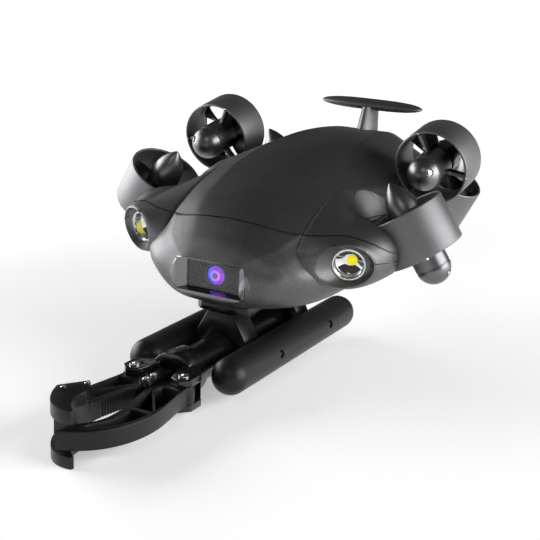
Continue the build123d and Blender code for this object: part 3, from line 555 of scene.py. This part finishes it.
def addPiece(name, mesh, finish, body, *stoodFor):
    mesh.materials.clear()
    mesh.materials.append(finish)
    piece = newObject(name, mesh)
    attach(piece, body)
    if stoodFor:
        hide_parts(*stoodFor)


def bodyOf(node):
    for body, members in frame["record"]["behaviour"]["bodies"].items():
        if node in members:
            return body


def addPair(kind, mesh, finish):
    # a mesh and its mirror image, each in place of its side's node
    for side, shape in (("left", mirrored(mesh)), ("right", mesh)):
        node = f"{side}_{kind}"
        addPiece(node.replace("_", "-"), shape, finish, bodyOf(node), node)


def smoothCopy(node, angle, bevel=0.0):
    # the node's own shape, joined, shaded smooth up to an angle, with its edges broken
    shape = bmesh.new()
    shape.from_mesh(nodes[node].data)
    bmesh.ops.remove_doubles(shape, verts=shape.verts, dist=5 * weld)
    bmesh.ops.dissolve_degenerate(shape, edges=shape.edges, dist=5 * weld)
    mesh = meshFrom(shape, node + "Smooth", angle)
    if not bevel:
        return mesh
    thing = tempObject(mesh)
    broken = thing.modifiers.new("edges", "BEVEL")
    broken.width = bevel * mm
    broken.segments = 2
    broken.limit_method = "ANGLE"
    broken.angle_limit = radians(angle + 6)
    return applied(thing, node + "Edged", angle + 20)


# hull

hull = {
    "wall": 3.0,
    "samples": (10, 6, 6, 8, 8, 8, 8, 8),   # round half a section, between its points
    "rings": 9,                             # along the hull, between its stations
    "voxel": 1.6,                           # for the pods and fairings, which flow into each other
    "smoothing": 8,
    "seam": [(0, 27.2), (30, 25.1), (60.5, 20.2), (76, 21.6), (91, 22.9), (105, 21.2), (116, 16.5),
             (123, 10.5), (129, 3.5), (136, 1), (200, -2)],   # its height over the place across
    "seamGap": 0.5,
    "ridgeRise": 1.3,
    "ridgeStart": (-8.0, 45.0),   # places along the hull where the ridges begin and are full
}

# place along the hull, then half a section from crown to keel
stations = [
    (-50, -1.5, (14, -1.6), (26, -3), (33, -9), (36, -18), (33, -27), (24, -32.5), -33.5),
    (-44, 9.0, (17, 8), (36, 3), (47, -5), (52, -14), (46, -27), (30, -36.5), -38.0),
    (-33, 18.5, (23, 17), (47, 9), (60, -1), (66, -12), (56, -28), (34, -40), -42.5),
    (-20, 27.5, (29, 25.5), (54, 16), (68, 3), (77, -12), (64, -33), (38, -43), -45.0),
    (-5, 35.0, (34, 32.5), (60.5, 22.0), (77, 6), (86, -13), (72, -34), (43, -45), -47.0),
    (20, 44.0, (39.5, 40.5), (60.5, 34.5), (84, 17), (97, -12), (78, -34), (50, -46), -48.5),
    (50, 54.0, (41.3, 50.5), (62, 44.3), (88, 26), (102, -8), (82, -31), (54, -45), -48.5),
    (85, 62.5, (40.6, 58.8), (78, 44.5), (97, 27), (104, -6), (84, -27), (54, -40.5), -46.0),
    (125, 68.0, (37.5, 65.0), (88, 42.5), (101, 26), (101, 2), (82, -22), (50, -37), -43.0),
    (165, 70.0, (33, 68.3), (86, 43), (95, 28), (91, 4), (74, -18), (44, -33), -39.0),
    (205, 69.0, (27, 68), (76, 46), (80, 32), (71, 7), (60, -14), (37, -27.5), -33.0),
    (245, 64.5, (22, 63.5), (60, 46), (60, 33), (51, 9), (44, -8), (30, -19), -24.0),
    (280, 55.5, (18, 54.5), (43, 42), (44, 32), (38.5, 13), (33, 0), (23, -8.5), -12.0),
    (305, 46.0, (14, 45.5), (30, 37), (31, 30), (27.5, 17), (24, 8), (16.5, 2.5), 0.5),
    (322, 36.5, (9, 36), (16, 31), (17.5, 26), (17, 19), (15, 12.5), (9.5, 8.5), 7.0),
]


def ridgeShare(y):
    start, full = hull["ridgeStart"]
    return max(0.0, min(1.0, (y - start) / (full - start)))


def sectionPoints(station, inset):
    y, crown, ridge, edge, flank, side, haunch, bilge, keel = station
    shoulder = ((ridge[0] + edge[0]) / 2 + 0.4, (ridge[1] + edge[1]) / 2 + 0.6)
    ridge = (ridge[0], ridge[1] + hull["ridgeRise"] * ridgeShare(y))
    points = [(0, crown), ridge, shoulder, edge, flank, side, haunch, bilge, (0, keel)]
    inwards = [(0, -1), (-0.3, -0.95), (-0.45, -0.9), (-0.6, -0.8), (-0.8, -0.5), (-1, 0), (-0.7, 0.7),
               (-0.3, 0.95), (0, 1)]
    return [Vector((p[0] + n[0] * inset, p[1] + n[1] * inset)) for p, n in zip(points, inwards)]


def halfSection(points, samples, sharp):
    # from crown to keel, with a break in direction at the ridge and at the edge
    def bend(i):
        return (points[i + 1] - points[i - 1]).normalized()

    across, down = Vector((1, 0)), Vector((0, -1))
    crease = bend(1).lerp((points[1] - points[0]).normalized(), sharp).normalized()
    leave = bend(1).lerp((points[2] - points[1]).normalized(), sharp).normalized()
    flankStart = (points[4] - points[3]).normalized()
    leaving = [across, leave, bend(2), flankStart, bend(4), down, bend(6), bend(7)]
    arriving = [crease, bend(2), (points[3] - points[2]).normalized(), bend(4), down, bend(6), bend(7),
                Vector((-1, 0))]
    curve = []
    for i, count in enumerate(samples):
        a, b = points[i], points[i + 1]
        reach = (b - a).length
        for k in range(count):
            t = k / count
            curve.append(a * (2 * t**3 - 3 * t**2 + 1) + leaving[i] * reach * (t**3 - 2 * t**2 + t)
                         + b * (3 * t**2 - 2 * t**3) + arriving[i] * reach * (t**3 - t**2))
    return curve + [points[-1]]


def centralBody(name, first, last, inset, samples, rings):
    # the hull without its pods, between two stations
    chosen = stations[first:last]
    places = [s[0] for s in chosen]
    rows = [sectionPoints(s, inset) for s in chosen]
    along = rings * (len(chosen) - 1)
    sections = []
    for j in range(along + 1):
        k, part = divmod(j, rings)
        y = places[k] + (places[k + 1] - places[k]) * part / rings if part else places[k]
        points = [curveThrough([row[i] for row in rows], places, y) for i in range(9)]
        sections.append((y, halfSection(points, samples, ridgeShare(y))))
    half = sum(samples)

    def place(u, v):
        y, curve = sections[round(v * along)]
        i = round(u * 2 * half)
        point = curve[i] if i <= half else curve[2 * half - i]
        return at(point[0] if i <= half else -point[0], y, point[1])

    return wrapGrid(name, 2 * half, along, place)


def ovalPlane(yaw, pitch, origin):
    # across, up and out of a light's plane
    y, p = radians(yaw), radians(pitch)
    out = Vector((sin(y) * cos(p), -cos(y) * cos(p), sin(p)))
    across = Vector((cos(y), sin(y), 0))
    return Vector(origin), across, out.cross(across), out


def ovalLoft(name, ovals, around=48, rings=8):
    # each oval: origin, its two half axes as vectors
    along = rings * (len(ovals) - 1)
    places = list(range(len(ovals)))

    def place(u, v):
        turn = 2 * pi * u
        where = v * (len(ovals) - 1)
        o, a, b = (curveThrough([oval[k] for oval in ovals], places, where) for k in range(3))
        return at(*(o + a * cos(turn) + b * sin(turn)))

    return wrapGrid(name, around, along, place)


light = {
    "x": 99.0, "cupYaw": 31, "yaw": 20, "pitch": -8.5,
    "cupWide": 25.0, "cupTall": 18.5, "bore": 14.0, "shelf": 0.5, "depth": 20.0,
    "ringWide": 2.6, "ringThick": 7.0, "bowlDeep": 3.6, "throat": 4.6, "ledShift": (1.7, -0.4),
}


cupRim = ovalPlane(light["cupYaw"], light["pitch"], (light["x"], -9.0, 0))
lightSeat = ovalPlane(light["yaw"], light["pitch"], (light["x"], 0, 0))
seatMatrix = axesMatrix(*lightSeat[1:], at(*lightSeat[0]))


def oval(plane, wide, tall, push=0.0):
    origin, across, over, out = plane
    return origin + out * push, across * wide, over * tall


def sidePod():
    wide, tall = light["cupWide"] + 0.6, light["cupTall"] + 0.6   # the rim round the cup
    pod = ovalLoft("pod", [
        oval(cupRim, wide, tall),
        oval(ovalPlane(26, -6, (97.5, 2, 0.5)), 28.5, 22),
        oval(ovalPlane(14, -3, (95, 24, 2.5)), 32.5, 25.5),
        oval(ovalPlane(5, 0, (92, 58, 5)), 35, 28),
        oval(ovalPlane(0, 0, (86, 92, 6)), 28, 24),
    ])
    outline = [Vector((60, y, z)) for y, z in (
        (-23.5, -3), (-20.5, 9), (-8.5, 20.5), (6, 29), (24, 37.5), (48, 45.5), (74, 49.5),
        (94, 40), (98, 10), (84, -16), (50, -26), (10, -27), (-16, -18))]
    count = len(outline)
    wrapped = outline[-3:] + outline + outline[:3]
    places = list(range(-3, count + 3))

    def place(u, v):
        root = curveThrough(wrapped, places, u * count)
        turn = pi - 2 * pi * u
        origin, across, over = oval(cupRim, wide, tall)
        return at(*root.lerp(origin + across * cos(turn) + over * sin(turn), v))

    shoulder = wrapGrid("shoulder", 104, 24, place)
    ahead, lean, tilt = Vector((0, 1, 0)), Vector((-0.5, 0, 0.86)).normalized(), Vector((0, 0, 1))
    ringPylon = ovalLoft("ringPylon", [
        (Vector((66, 158, 22)), ahead * 40, lean * 20), (Vector((98, 156, 40)), ahead * 22, lean * 9)])
    ductPylon = ovalLoft("ductPylon", [
        (Vector((30, 238, 18)), ahead * 38, tilt * 20), (Vector((66, 238, 17)), ahead * 24, tilt * 13)])
    thing = tempObject(joined("sideForms", pod, shoulder, ringPylon, ductPylon))
    remesh = thing.modifiers.new("flow", "REMESH")
    remesh.mode = "VOXEL"
    remesh.voxel_size = hull["voxel"] * mm
    shape = bmesh.new()
    shape.from_mesh(applied(thing, "sideForms"))
    for _ in range(hull["smoothing"]):
        bmesh.ops.smooth_vert(shape, verts=shape.verts, factor=0.5, use_axis_x=True, use_axis_y=True,
                              use_axis_z=True)
    return meshFrom(shape, "sideForms")


def cupTool():
    ahead = (Vector((light["x"] + 0.6 * sin(radians(light["cupYaw"])), -10.0, 0)), *cupRim[1:])
    mouth = light["bore"] + light["shelf"]
    cup = ovalLoft("cup", [
        oval(ahead, light["cupWide"], light["cupTall"]),
        oval(cupRim, light["cupWide"] - 3.6, light["cupTall"] - 1.2, -3.5),
        oval(lightSeat, mouth, mouth),
    ], around=96, rings=10)
    return cup, moved(drum("bore", light["bore"], -light["depth"], 0.4), seatMatrix)


# thrusters: their places come from the frame's own joints

thruster = {
    "duct": 33.6, "wall": 2.4, "lip": 1.2, "lowerLength": 40.7, "upperLength": 37.3, "jointUp": 24.0,
    "hub": 15.0, "dome": 13.0, "hubBack": 14.0, "strutWide": 3.4, "strutFront": 1.6, "strutLong": 7.4,
    "gap": 0.6, "rotor": 14.4, "rotorLong": 19.0, "blades": 4, "tipGap": 0.8,
    "rootChord": 17.0, "tipChord": 25.0, "rootPitch": 48.0, "tipPitch": 30.0,
    "rootThick": 2.6, "tipThick": 1.6,
    "spinnerReach": 24.9, "socket": 3.2, "socketTurn": {"front": 60, "rear": 60, "upper": -40},
}
facing = {"front": (0.45, -0.89, 0), "rear": (0.45, 0.89, 0), "upper": (0.99, 0, -0.14)}
scoops = {"front": (34.0, 40.0), "rear": (34.0, 40.0), "upper": (14.0, 14.0)}


def ductLength(place):
    return thruster["upperLength" if place == "upper" else "lowerLength"]


def thrusterMatrix(place):
    joint = next(j for j in frame["joints"] if j["name"] == f"right_{place}_spin")
    axis = Vector(joint["axis"]).normalized()
    towards = Vector(facing[place])
    across = (towards - axis * towards.dot(axis)).normalized()
    origin = Vector(joint["pos_m"]) - axis * thruster["jointUp"] * mm
    return axesMatrix(across, axis.cross(across), axis, origin)


def waterTools(extra):
    tools = []
    for place, (front, back) in scoops.items():
        tool = drum("water", thruster["duct"] + extra, -front, ductLength(place) + back, 128)
        tools.append(moved(tool, thrusterMatrix(place)))
    return tools


nose = {
    "corners": [(-30.5, -3.0), (30.5, -3.0), (37.5, -14.75), (37.5, -20.75), (28.5, -32.5), (-28.5, -32.5),
                (-37.5, -20.75), (-37.5, -14.75)],
    "round": 3.5,
    "clear": -60, "front": -52, "back": -41,    # bezel, with free space in front of it
    "windowLow": (-24.5, -28.5), "windowHigh": (24.5, -5.5),
    "boxFront": -42, "boxBack": -19, "boxGrow": 2.0,
    "lipFront": -54, "lipBack": -44.0, "lipFlare": (1.55, 1, 1.24), "lipThick": 0.8,
}


def extruded(shape, name, reach):
    # a flat face carried back along the hull
    grown = bmesh.ops.extrude_face_region(shape, geom=shape.faces[:])
    bmesh.ops.translate(shape, verts=[v for v in grown["geom"] if isinstance(v, bmesh.types.BMVert)],
                        vec=(0, reach * mm, 0))
    bmesh.ops.recalc_face_normals(shape, faces=shape.faces)
    return meshFrom(shape, name)


def bezelPrism(name, front):
    # outline of the camera's bezel, with its pointed wings
    shape = bmesh.new()
    shape.faces.new([shape.verts.new(at(x, front, z)) for x, z in nose["corners"]])
    bmesh.ops.bevel(shape, geom=shape.verts[:], offset=nose["round"] * mm, affect="VERTICES", segments=5,
                    profile=0.5, material=-1)
    return extruded(shape, name, nose["back"] - front)


def windowCorners(front, back, grow):
    low, high = nose["windowLow"], nose["windowHigh"]
    return at(low[0] - grow, front, low[1] - grow), at(high[0] + grow, back, high[1] + grow)


def lipBlock(name, grow):
    # wedge that opens forwards from the window
    shape = bmesh.new()
    bmesh.ops.create_cube(shape, size=1)
    low, high = windowCorners(nose["lipFront"], nose["lipBack"], grow)
    bmesh.ops.scale(shape, verts=shape.verts, vec=high - low)
    bmesh.ops.scale(shape, verts=[v for v in shape.verts if v.co.y < 0], vec=nose["lipFlare"])
    bmesh.ops.translate(shape, verts=shape.verts, vec=(low + high) / 2)
    return meshFrom(shape, name)


def seamTool(lift):
    # everything below the seam, from in front of the nose to behind the tail
    xs, zs = [p[0] for p in hull["seam"]], [p[1] + lift for p in hull["seam"]]
    line = [(x, curveThrough(zs, xs, x)) for x in [200 * i / 100 for i in range(101)]]
    line = [(-x, z) for x, z in reversed(line[1:])] + line
    shape = bmesh.new()
    shape.faces.new([shape.verts.new(at(x, -120, z)) for x, z in line + [(200, -160), (-200, -160)]])
    return extruded(shape, "belowSeam", 520)


def buildHull():
    central = centralBody("hullBody", 0, len(stations), 0.0, hull["samples"], hull["rings"])
    forms = sidePod()
    body = carve(central.copy(), forms.copy(), "UNION")
    body = carve(body, mirrored(forms), "UNION")
    cavity = centralBody("cavity", 2, len(stations) - 1, hull["wall"], (4, 2, 2, 3, 3, 3, 3, 3), 3)
    for tool in waterTools(hull["wall"]):
        cavity = carve(cavity, mirrored(tool))
        cavity = carve(cavity, tool)
    for tool in [*waterTools(0.05), *cupTool()]:
        body = carve(body, mirrored(tool))
        body = carve(body, tool)
    body = carve(body, cavity)
    body = carve(body, bezelPrism("bezelWay", nose["clear"]))
    boxCorners = windowCorners(nose["boxFront"], nose["boxBack"], nose["boxGrow"])
    body = carve(body, block("boxWay", *boxCorners))
    alongHull = Matrix.Rotation(-pi / 2, 4, "X")
    socketWay = moved(drum("socketWay", 11.5, 308, 340), Matrix.Translation(at(0, 0, 21)) @ alongHull)
    body = carve(body, socketWay)
    lower = carve(body.copy(), seamTool(-hull["seamGap"] / 2), "INTERSECT")
    upper = carve(body, seamTool(hull["seamGap"] / 2 + 0.2))
    addPiece("upperHull", sharpenTop(upper, 6), finishes["hull"], hullBody, "upper_hull_shell")
    addPiece("lowerHull", lower, finishes["hull"], hullBody, "lower_hull_shell")
    bezel = carve(bezelPrism("bezel", nose["front"]), central.copy(), "INTERSECT")
    bezel = carve(bezel, block("windowWay", *windowCorners(nose["clear"], nose["back"] + 1, 0.0)))
    lip = carve(carve(lipBlock("lip", nose["lipThick"]), central, "INTERSECT"), lipBlock("lipWay", 0.0))
    bezel = carve(bezel, lipBlock("lipSeat", nose["lipThick"] + 0.02))
    addPiece("cameraBezel", bezel, finishes["bezel"], hullBody, "camera_bezel")
    addPiece("cameraBezelLip", lip, finishes["bezelLip"], hullBody)


buildHull()
print("hull made")


# thruster pieces

def ductMesh(length):
    outer, inner, lip = thruster["duct"], thruster["duct"] - thruster["wall"], thruster["lip"]
    middle = (outer + inner) / 2
    profile = rounding((middle, lip), lip, 180, 360, 8) + rounding((middle, length - lip), lip, 0, 180, 8)
    return turned("duct", profile, 128, 50)


def podMesh(place):
    hub, dome, back = thruster["hub"], thruster["dome"], thruster["hubBack"]
    profile = [(0, -dome - hub)] + rounding((0, -dome), hub, -84, -4, 14)
    profile += [(hub - 0.5, -dome + 0.2), (hub - 0.5, -dome + 0.9), (hub, -dome + 1.1)]
    profile += [(hub, back - 0.8), (hub - 0.8, back), (0, back)]
    pod = turned("pod", profile, 96, 40)
    reach = thruster["duct"] - thruster["wall"]
    for i in range(3):
        wide, front = thruster["strutWide"] / 2, thruster["strutFront"]
        strut = block("strut", Vector((hub - 2, -wide, front)) * mm,
                      Vector((reach - 0.1, wide, front + thruster["strutLong"])) * mm, 0.9 * mm)
        pod = carve(pod, moved(strut, Matrix.Rotation(2 * pi * i / 3, 4, "Z")), "UNION")
    return carve(pod, moved(drum("screwWay", thruster["socket"], hub - 4.0, hub + 4, 40), screwMatrix(place)))


def screwMatrix(place):
    # where the dome's screw sits, about the thruster's axis
    turn = radians(thruster["socketTurn"][place])
    out = Vector((0.86 * cos(turn), 0.86 * sin(turn), -0.5)).normalized()
    side = Vector((-sin(turn), cos(turn), 0))
    return axesMatrix(side, out.cross(side), out, Vector((0, 0, -thruster["dome"] - 4.0)) * mm)


def podScrewMesh(place):
    # socket head with its hexagonal recess
    top = thruster["hub"] - 2.2
    profile = [(0, top - 2.0), (2.0, top - 2.0), (2.0, top - 0.3), (1.7, top), (0, top)]
    head = turned("podScrew", profile, 32, 40)
    head = carve(head, drum("recess", 1.0, top - 1.2, top + 1, 6))
    return moved(head, screwMatrix(place))


def bladePoint(u, v):
    # sections lie on rings round the axis, so the tip follows the duct's wall
    inner, tip = thruster["rotor"] - 2, thruster["duct"] - thruster["wall"] - thruster["tipGap"]
    r = inner + (tip - inner) * v
    share = (r - thruster["rotor"]) / (tip - thruster["rotor"])
    chord = thruster["rootChord"] + (thruster["tipChord"] - thruster["rootChord"]) * share
    pitch = radians(thruster["rootPitch"] + (thruster["tipPitch"] - thruster["rootPitch"]) * share)
    thick = thruster["rootThick"] + (thruster["tipThick"] - thruster["rootThick"]) * share
    turn = 2 * pi * u
    along, off = cos(turn) * chord / 2, sin(turn) * thick / 2
    swing = (along * cos(pitch) - off * sin(pitch)) / r
    height = along * sin(pitch) + off * cos(pitch)
    middle = thruster["hubBack"] + thruster["gap"] + thruster["rotorLong"] / 2
    return Vector((r * cos(swing), r * sin(swing), middle + height)) * mm


def propellerMesh():
    start = thruster["hubBack"] + thruster["gap"]
    end = start + thruster["rotorLong"]
    r = thruster["rotor"]
    hub = turned("hub", [(0, start), (r - 0.6, start), (r, start + 0.6), (r, end - 0.3), (r - 0.3, end),
                         (0, end)], 96)
    blade = wrapGrid("blade", 40, 14, bladePoint, 60)
    for i in range(thruster["blades"]):
        turn = 2 * pi * i / thruster["blades"] + pi / 4
        hub = carve(hub, moved(blade.copy(), Matrix.Rotation(turn, 4, "Z")), "UNION", 45)
    return hub


def spinnerMesh(length):
    base = thruster["hubBack"] + thruster["gap"] + thruster["rotorLong"]
    reach = length + thruster["spinnerReach"] - base
    r = thruster["rotor"]
    profile = [(0, base), (r - 0.3, base)]
    for i in range(25):
        t = 1 - (1 - i / 24) ** 1.3
        profile.append((r * (1 - t ** 2.2) ** 0.9 if t < 1 else 0, base + 0.3 + (reach - 0.3) * t))
    return turned("spinner", profile, 96, 60)


def buildThrusters():
    propeller = propellerMesh()
    for place in facing:
        matrix = thrusterMatrix(place)
        length = ductLength(place)
        own = {
            "duct": (ductMesh(length), "duct"),
            "motor_pod": (podMesh(place), "pod"),
            "propeller": (propeller.copy(), "propeller"),
            "spinner": (spinnerMesh(length), "pod"),
        }
        for kind, (mesh, finish) in own.items():
            addPair(f"{place}_{kind}", moved(mesh, matrix), finishes[finish])
        head = moved(podScrewMesh(place), matrix)
        addPiece(f"left-{place}-pod-screw", mirrored(head), finishes["steel"], hullBody)
        addPiece(f"right-{place}-pod-screw", head, finishes["steel"], hullBody)


buildThrusters()
print("thrusters made")


# front lights

def buildLights():
    bore, wide, thick = light["bore"], light["ringWide"], light["ringThick"]
    bowl, floor = bore - wide, -light["ringThick"] - light["bowlDeep"]
    steps = 14
    profile = [(0, -light["depth"]), (bore - 0.05, -light["depth"]), (bore - 0.05, -thick), (bowl, -thick)]
    for i in range(1, steps + 1):
        t = i / steps
        profile.append((bowl + (light["throat"] - bowl) * t, -thick + (floor + thick) * (1 - (1 - t) ** 1.2)))
    profile.append((0, floor))
    reflector = turned("reflector", profile, 96, 40)
    ring = turned("ring", [(bowl, -thick), (bore - 0.05, -thick), (bore - 0.05, -0.5), (bore - 0.6, 0),
                           (bowl + 0.9, 0), (bowl + 0.1, -0.9)], 96, 30)
    onRing = Matrix.Translation((bore * mm - wide / 2 * mm, 0, 0))
    for i in range(6):
        turn = Matrix.Rotation(2 * pi * i / 6 + 0.3, 4, "Z")
        ring = carve(ring, moved(drum("head", 0.85, -0.4, 0.45, 20), turn @ onRing), "UNION")
    led = turned("led", [(0, floor), (4.3, floor), (4.3, floor + 0.5), (3.9, floor + 1.0), (2.2, floor + 1.3),
                         (0, floor + 1.4)], 48, 50)
    moved(led, Matrix.Translation((*[shift * mm for shift in light["ledShift"]], 0)))
    addPair("light_reflector", moved(reflector, seatMatrix), finishes["mirror"])
    addPair("light_ring", moved(ring, seatMatrix), finishes["steel"])
    addPair("light_emitter", moved(led, seatMatrix), finishes["led"])


buildLights()
print("lights made")


# camera lens behind its window

lens = {"y": -38.0, "z": -17.0, "r": 11.3, "glass": 8.3}


def buildLens():
    r, g = lens["r"], lens["glass"]
    barrel = turned("barrel", [
        (0, -16), (r, -16), (r, -0.6), (r - 0.6, 0), (r - 1.2, 0), (r - 1.4, -0.5), (r - 2.2, -0.5),
        (r - 2.4, 0), (g + 0.3, 0), (g, -0.4), (g, -2.0), (0, -2.0)], 96, 30)
    dome = [(g * cos(a), -1.4 + 3.2 * sin(a)) for a in [i * pi / 24 for i in range(0, 12)]]
    glass = turned("glass", [(0, -1.9), (g, -1.9)] + dome + [(0, 1.8)], 96, 60)
    matrix = Matrix.Translation(at(0, lens["y"], lens["z"])) @ Matrix.Rotation(pi / 2, 4, "X")
    addPiece("lensBarrel", moved(barrel, matrix), finishes["darkSteel"], hullBody, "camera_lens")
    addPiece("lensGlass", moved(glass, matrix), finishes["lens"], hullBody)


buildLens()
print("lens made")


# handle

handle = {"y": 253.0, "z": 88.5, "halfSpan": 53.4, "chord": 26.0, "thick": 10.5,
          "postWide": 8.5, "postLong": 34.0, "postLean": 14.0, "footZ": 52.0}


def bladeOfHandle(u, v):
    share = -cos(pi * v)
    size = max(0.0, 1 - abs(share) ** 3.2) ** 0.5
    turn = 2 * pi * u
    return at(share * handle["halfSpan"], handle["y"] + cos(turn) * handle["chord"] / 2 * size,
              handle["z"] + sin(turn) * handle["thick"] / 2 * size)


def postOfHandle(u, v):
    top = handle["z"] - 1.0
    z = handle["footZ"] + (top - handle["footZ"]) * v
    grow = 1.22 - 0.4 * v + 0.5 * max(0.0, 0.5 - v) ** 2
    y = handle["y"] - (handle["postLean"] - 4) * (1 - v) - 2 * v
    turn = 2 * pi * u
    c, s = cos(turn), sin(turn)
    across = abs(s) ** 1.25 * (1 if s > 0 else -1) * handle["postWide"] * grow * 0.93
    along = abs(c) ** 0.9 * (1 if c > 0 else -1) * handle["postLong"] / 2 * grow
    return at(across, y + along, z)


def buildHandle():
    blade = wrapGrid("handleBlade", 64, 64, bladeOfHandle, 60)
    post = wrapGrid("handlePost", 64, 24, postOfHandle, 60)
    addPiece("handleBlade", blade, finishes["handle"], hullBody, "handle_blade")
    addPiece("handlePost", post, finishes["handle"], hullBody, "handle_post")


buildHandle()
print("handle made")


# floats and arm

floats = {"x": 38.5, "z": -82.9, "r": 15.1, "front": -92.0, "back": 131.0, "screwHole": 3.5,
          "screwPlaces": (-19.0, 72.0)}
tube = {"r": 15.3, "bore": 13.3, "front": -84, "back": 96, "z": -84}


def buildFloats():
    r = floats["r"]
    profile = [(0, floats["front"])] + rounding((0, floats["front"] + r), r, -84, 0, 14)
    profile += rounding((0, floats["back"] - r), r, 0, 84, 14) + [(0, floats["back"])]
    shape = turned("float", profile, 96, 60)
    moved(shape, Matrix.Translation(at(floats["x"], 0, floats["z"])) @ Matrix.Rotation(-pi / 2, 4, "X"))
    out = Vector((1, 0, 0.25)).normalized()
    side = Vector((0, 1, 0))
    for y in floats["screwPlaces"]:
        hole = drum("hole", floats["screwHole"], r - 3.5, r + 1, 32)
        centre = at(floats["x"], y, floats["z"])
        shape = carve(shape, moved(hole, axesMatrix(side, out.cross(side), out, centre)))
    addPiece("leftFloat", mirrored(shape), finishes["float"], hullBody, "left_float")
    addPiece("rightFloat", shape, finishes["float"], hullBody, "right_float")
    r, bore, front, back = (tube[k] for k in ("r", "bore", "front", "back"))
    arm = turned("armTube", [(bore, front), (r, front), (r, back - 0.6), (r - 0.6, back), (0, back),
                             (0, back - 2), (bore, back - 2)], 96)
    moved(arm, Matrix.Translation(at(0, 0, tube["z"])) @ Matrix.Rotation(-pi / 2, 4, "X"))
    addPiece("armTube", arm, finishes["arm"], hullBody, "arm_tube")


buildFloats()
print("floats made")


# bright ends of the crosshead's pins, and rivets of the fork

studs = [  # name, rides with, place, radius, height
    ("drivePin", "drive_crosshead", (0, -127.0, -74.3), 2.6, 0.8),
    ("keeperPin", "drive_crosshead", (0, -137.0, -74.1), 2.9, 0.9),
    ("forkRivetFront", "left_jaw", (-22.0, -208.0, -61.4), 2.2, 0.3),
    ("forkRivetBack", "left_jaw", (-12.6, -192.7, -61.4), 2.2, 0.3),
]


def buildStuds():
    for name, rider, place, r, height in studs:
        shape = turned(name, [(0, -0.4), (r, -0.4), (r, height - 0.25), (r - 0.3, height), (r * 0.45, height),
                              (r * 0.4, height - 0.2), (0, height - 0.2)], 40, 30)
        addPiece(name, moved(shape, Matrix.Translation(at(*place))), finishes["steel"], bodyOf(rider))


buildStuds()
print("studs made")


# nodes that keep their own shape, with broken edges

copied = {  # node: (finish, smooth up to this angle, edge)
    "hull_seal": ("rubber", 35, 0), "camera_housing": ("rubber", 30, 0),
    "pressure_housing": ("steel", 30, 0), "battery_pack": ("board", 30, 0),
    "control_board": ("board", 30, 0), "motor_windings": ("copper", 30, 0),
    "shaft_bearings": ("steel", 30, 0), "duct_screws": ("steel", 30, 0.15),
    "belly_plate": ("mount", 30, 0.6), "front_bracket": ("mount", 30, 0.6),
    "rear_clamp": ("mount", 30, 0.6), "float_screws": ("darkSteel", 30, 0),
    "gripper_yoke": ("arm", 30, 0.5), "right_jaw": ("claw", 28, 0.35),
    "left_jaw": ("claw", 28, 0.35), "jaw_pivot_screws": ("steel", 30, 0.25),
    "drive_crosshead": ("darkSteel", 30, 0.3), "tether_socket": ("mount", 30, 0.4),
    "gripper_motor": ("steel", 30, 0), "hull_screws": ("darkSteel", 30, 0),
}
for node, (finish, angle, edge) in copied.items():
    addPiece(node.replace("_", "-"), smoothCopy(node, angle, edge), finishes[finish], bodyOf(node), node)
windowLook = nodes["camera_window"].data.materials
windowLook.clear()
windowLook.append(finishes["window"])
print("nodes dressed:", len(copied))


# floor and lamps

studio = {
    "floorSize": 30.0,
    "floorTone": 0.9,
    "floorLift": (0.36, 1.0),    # near the object and far from it
    "liftReach": (0.5, 2.2),     # metres over which the lift grows
    "worldTone": 0.05,
}


def makeFloor():
    shape = bmesh.new()
    bmesh.ops.create_grid(shape, x_segments=1, y_segments=1, size=studio["floorSize"] / 2)
    mesh = bpy.data.meshes.new("studioFloor")
    shape.to_mesh(mesh)
    shape.free()
    material, tree, shader, place = plainShader("studioFloor", {
        "Base Color": grey(studio["floorTone"], 1.0), "Roughness": 0.7, "Emission Color": (1, 1, 1, 1)})
    rays = tree.nodes.new("ShaderNodeLightPath").outputs
    seen = mathOf(tree, "MAXIMUM", rays["Is Camera Ray"], rays["Is Transmission Ray"])
    seen = mathOf(tree, "MAXIMUM", seen, rays["Is Glossy Ray"])
    glow = rangeOf(tree, vectorOf(tree, "LENGTH", place), *studio["liftReach"], *studio["floorLift"])
    feed(tree, shader.inputs["Emission Strength"], mathOf(tree, "MULTIPLY", seen, glow))
    mesh.materials.append(material)
    newObject("studioFloor", mesh)


def makeLamp(name, place, target, size, power):
    data = bpy.data.lights.new(name, "AREA")
    data.shape = "RECTANGLE"
    data.size, data.size_y = size
    data.energy = power
    lamp = newObject(name, data)
    lamp.location = place
    lamp.rotation_euler = (Vector(target) - Vector(place)).to_track_quat("-Z", "Y").to_euler()


lamps = {
    "leftSoftbox": dict(place=(-1.6, -0.1, 0.5), target=(0, 0, 0.1), size=(1.7, 1.1), power=38.0),
    "rightSoftbox": dict(place=(1.6, 0.35, 0.6), target=(0, 0, 0.1), size=(1.7, 1.1), power=38.0),
    "frontSoftbox": dict(place=(0.5, -1.9, 1.5), target=(0, 0, 0.1), size=(0.8, 0.5), power=4.0),
}
makeFloor()
for name, lamp in lamps.items():
    makeLamp(name, **lamp)
world = bpy.data.worlds.new("studioWorld")
world.use_nodes = True
world.node_tree.nodes["Background"].inputs["Color"].default_value = grey(studio["worldTone"], 1.0)
bpy.context.scene.world = world
bpy.context.scene.view_settings.view_transform = "Standard"
print("studio made")
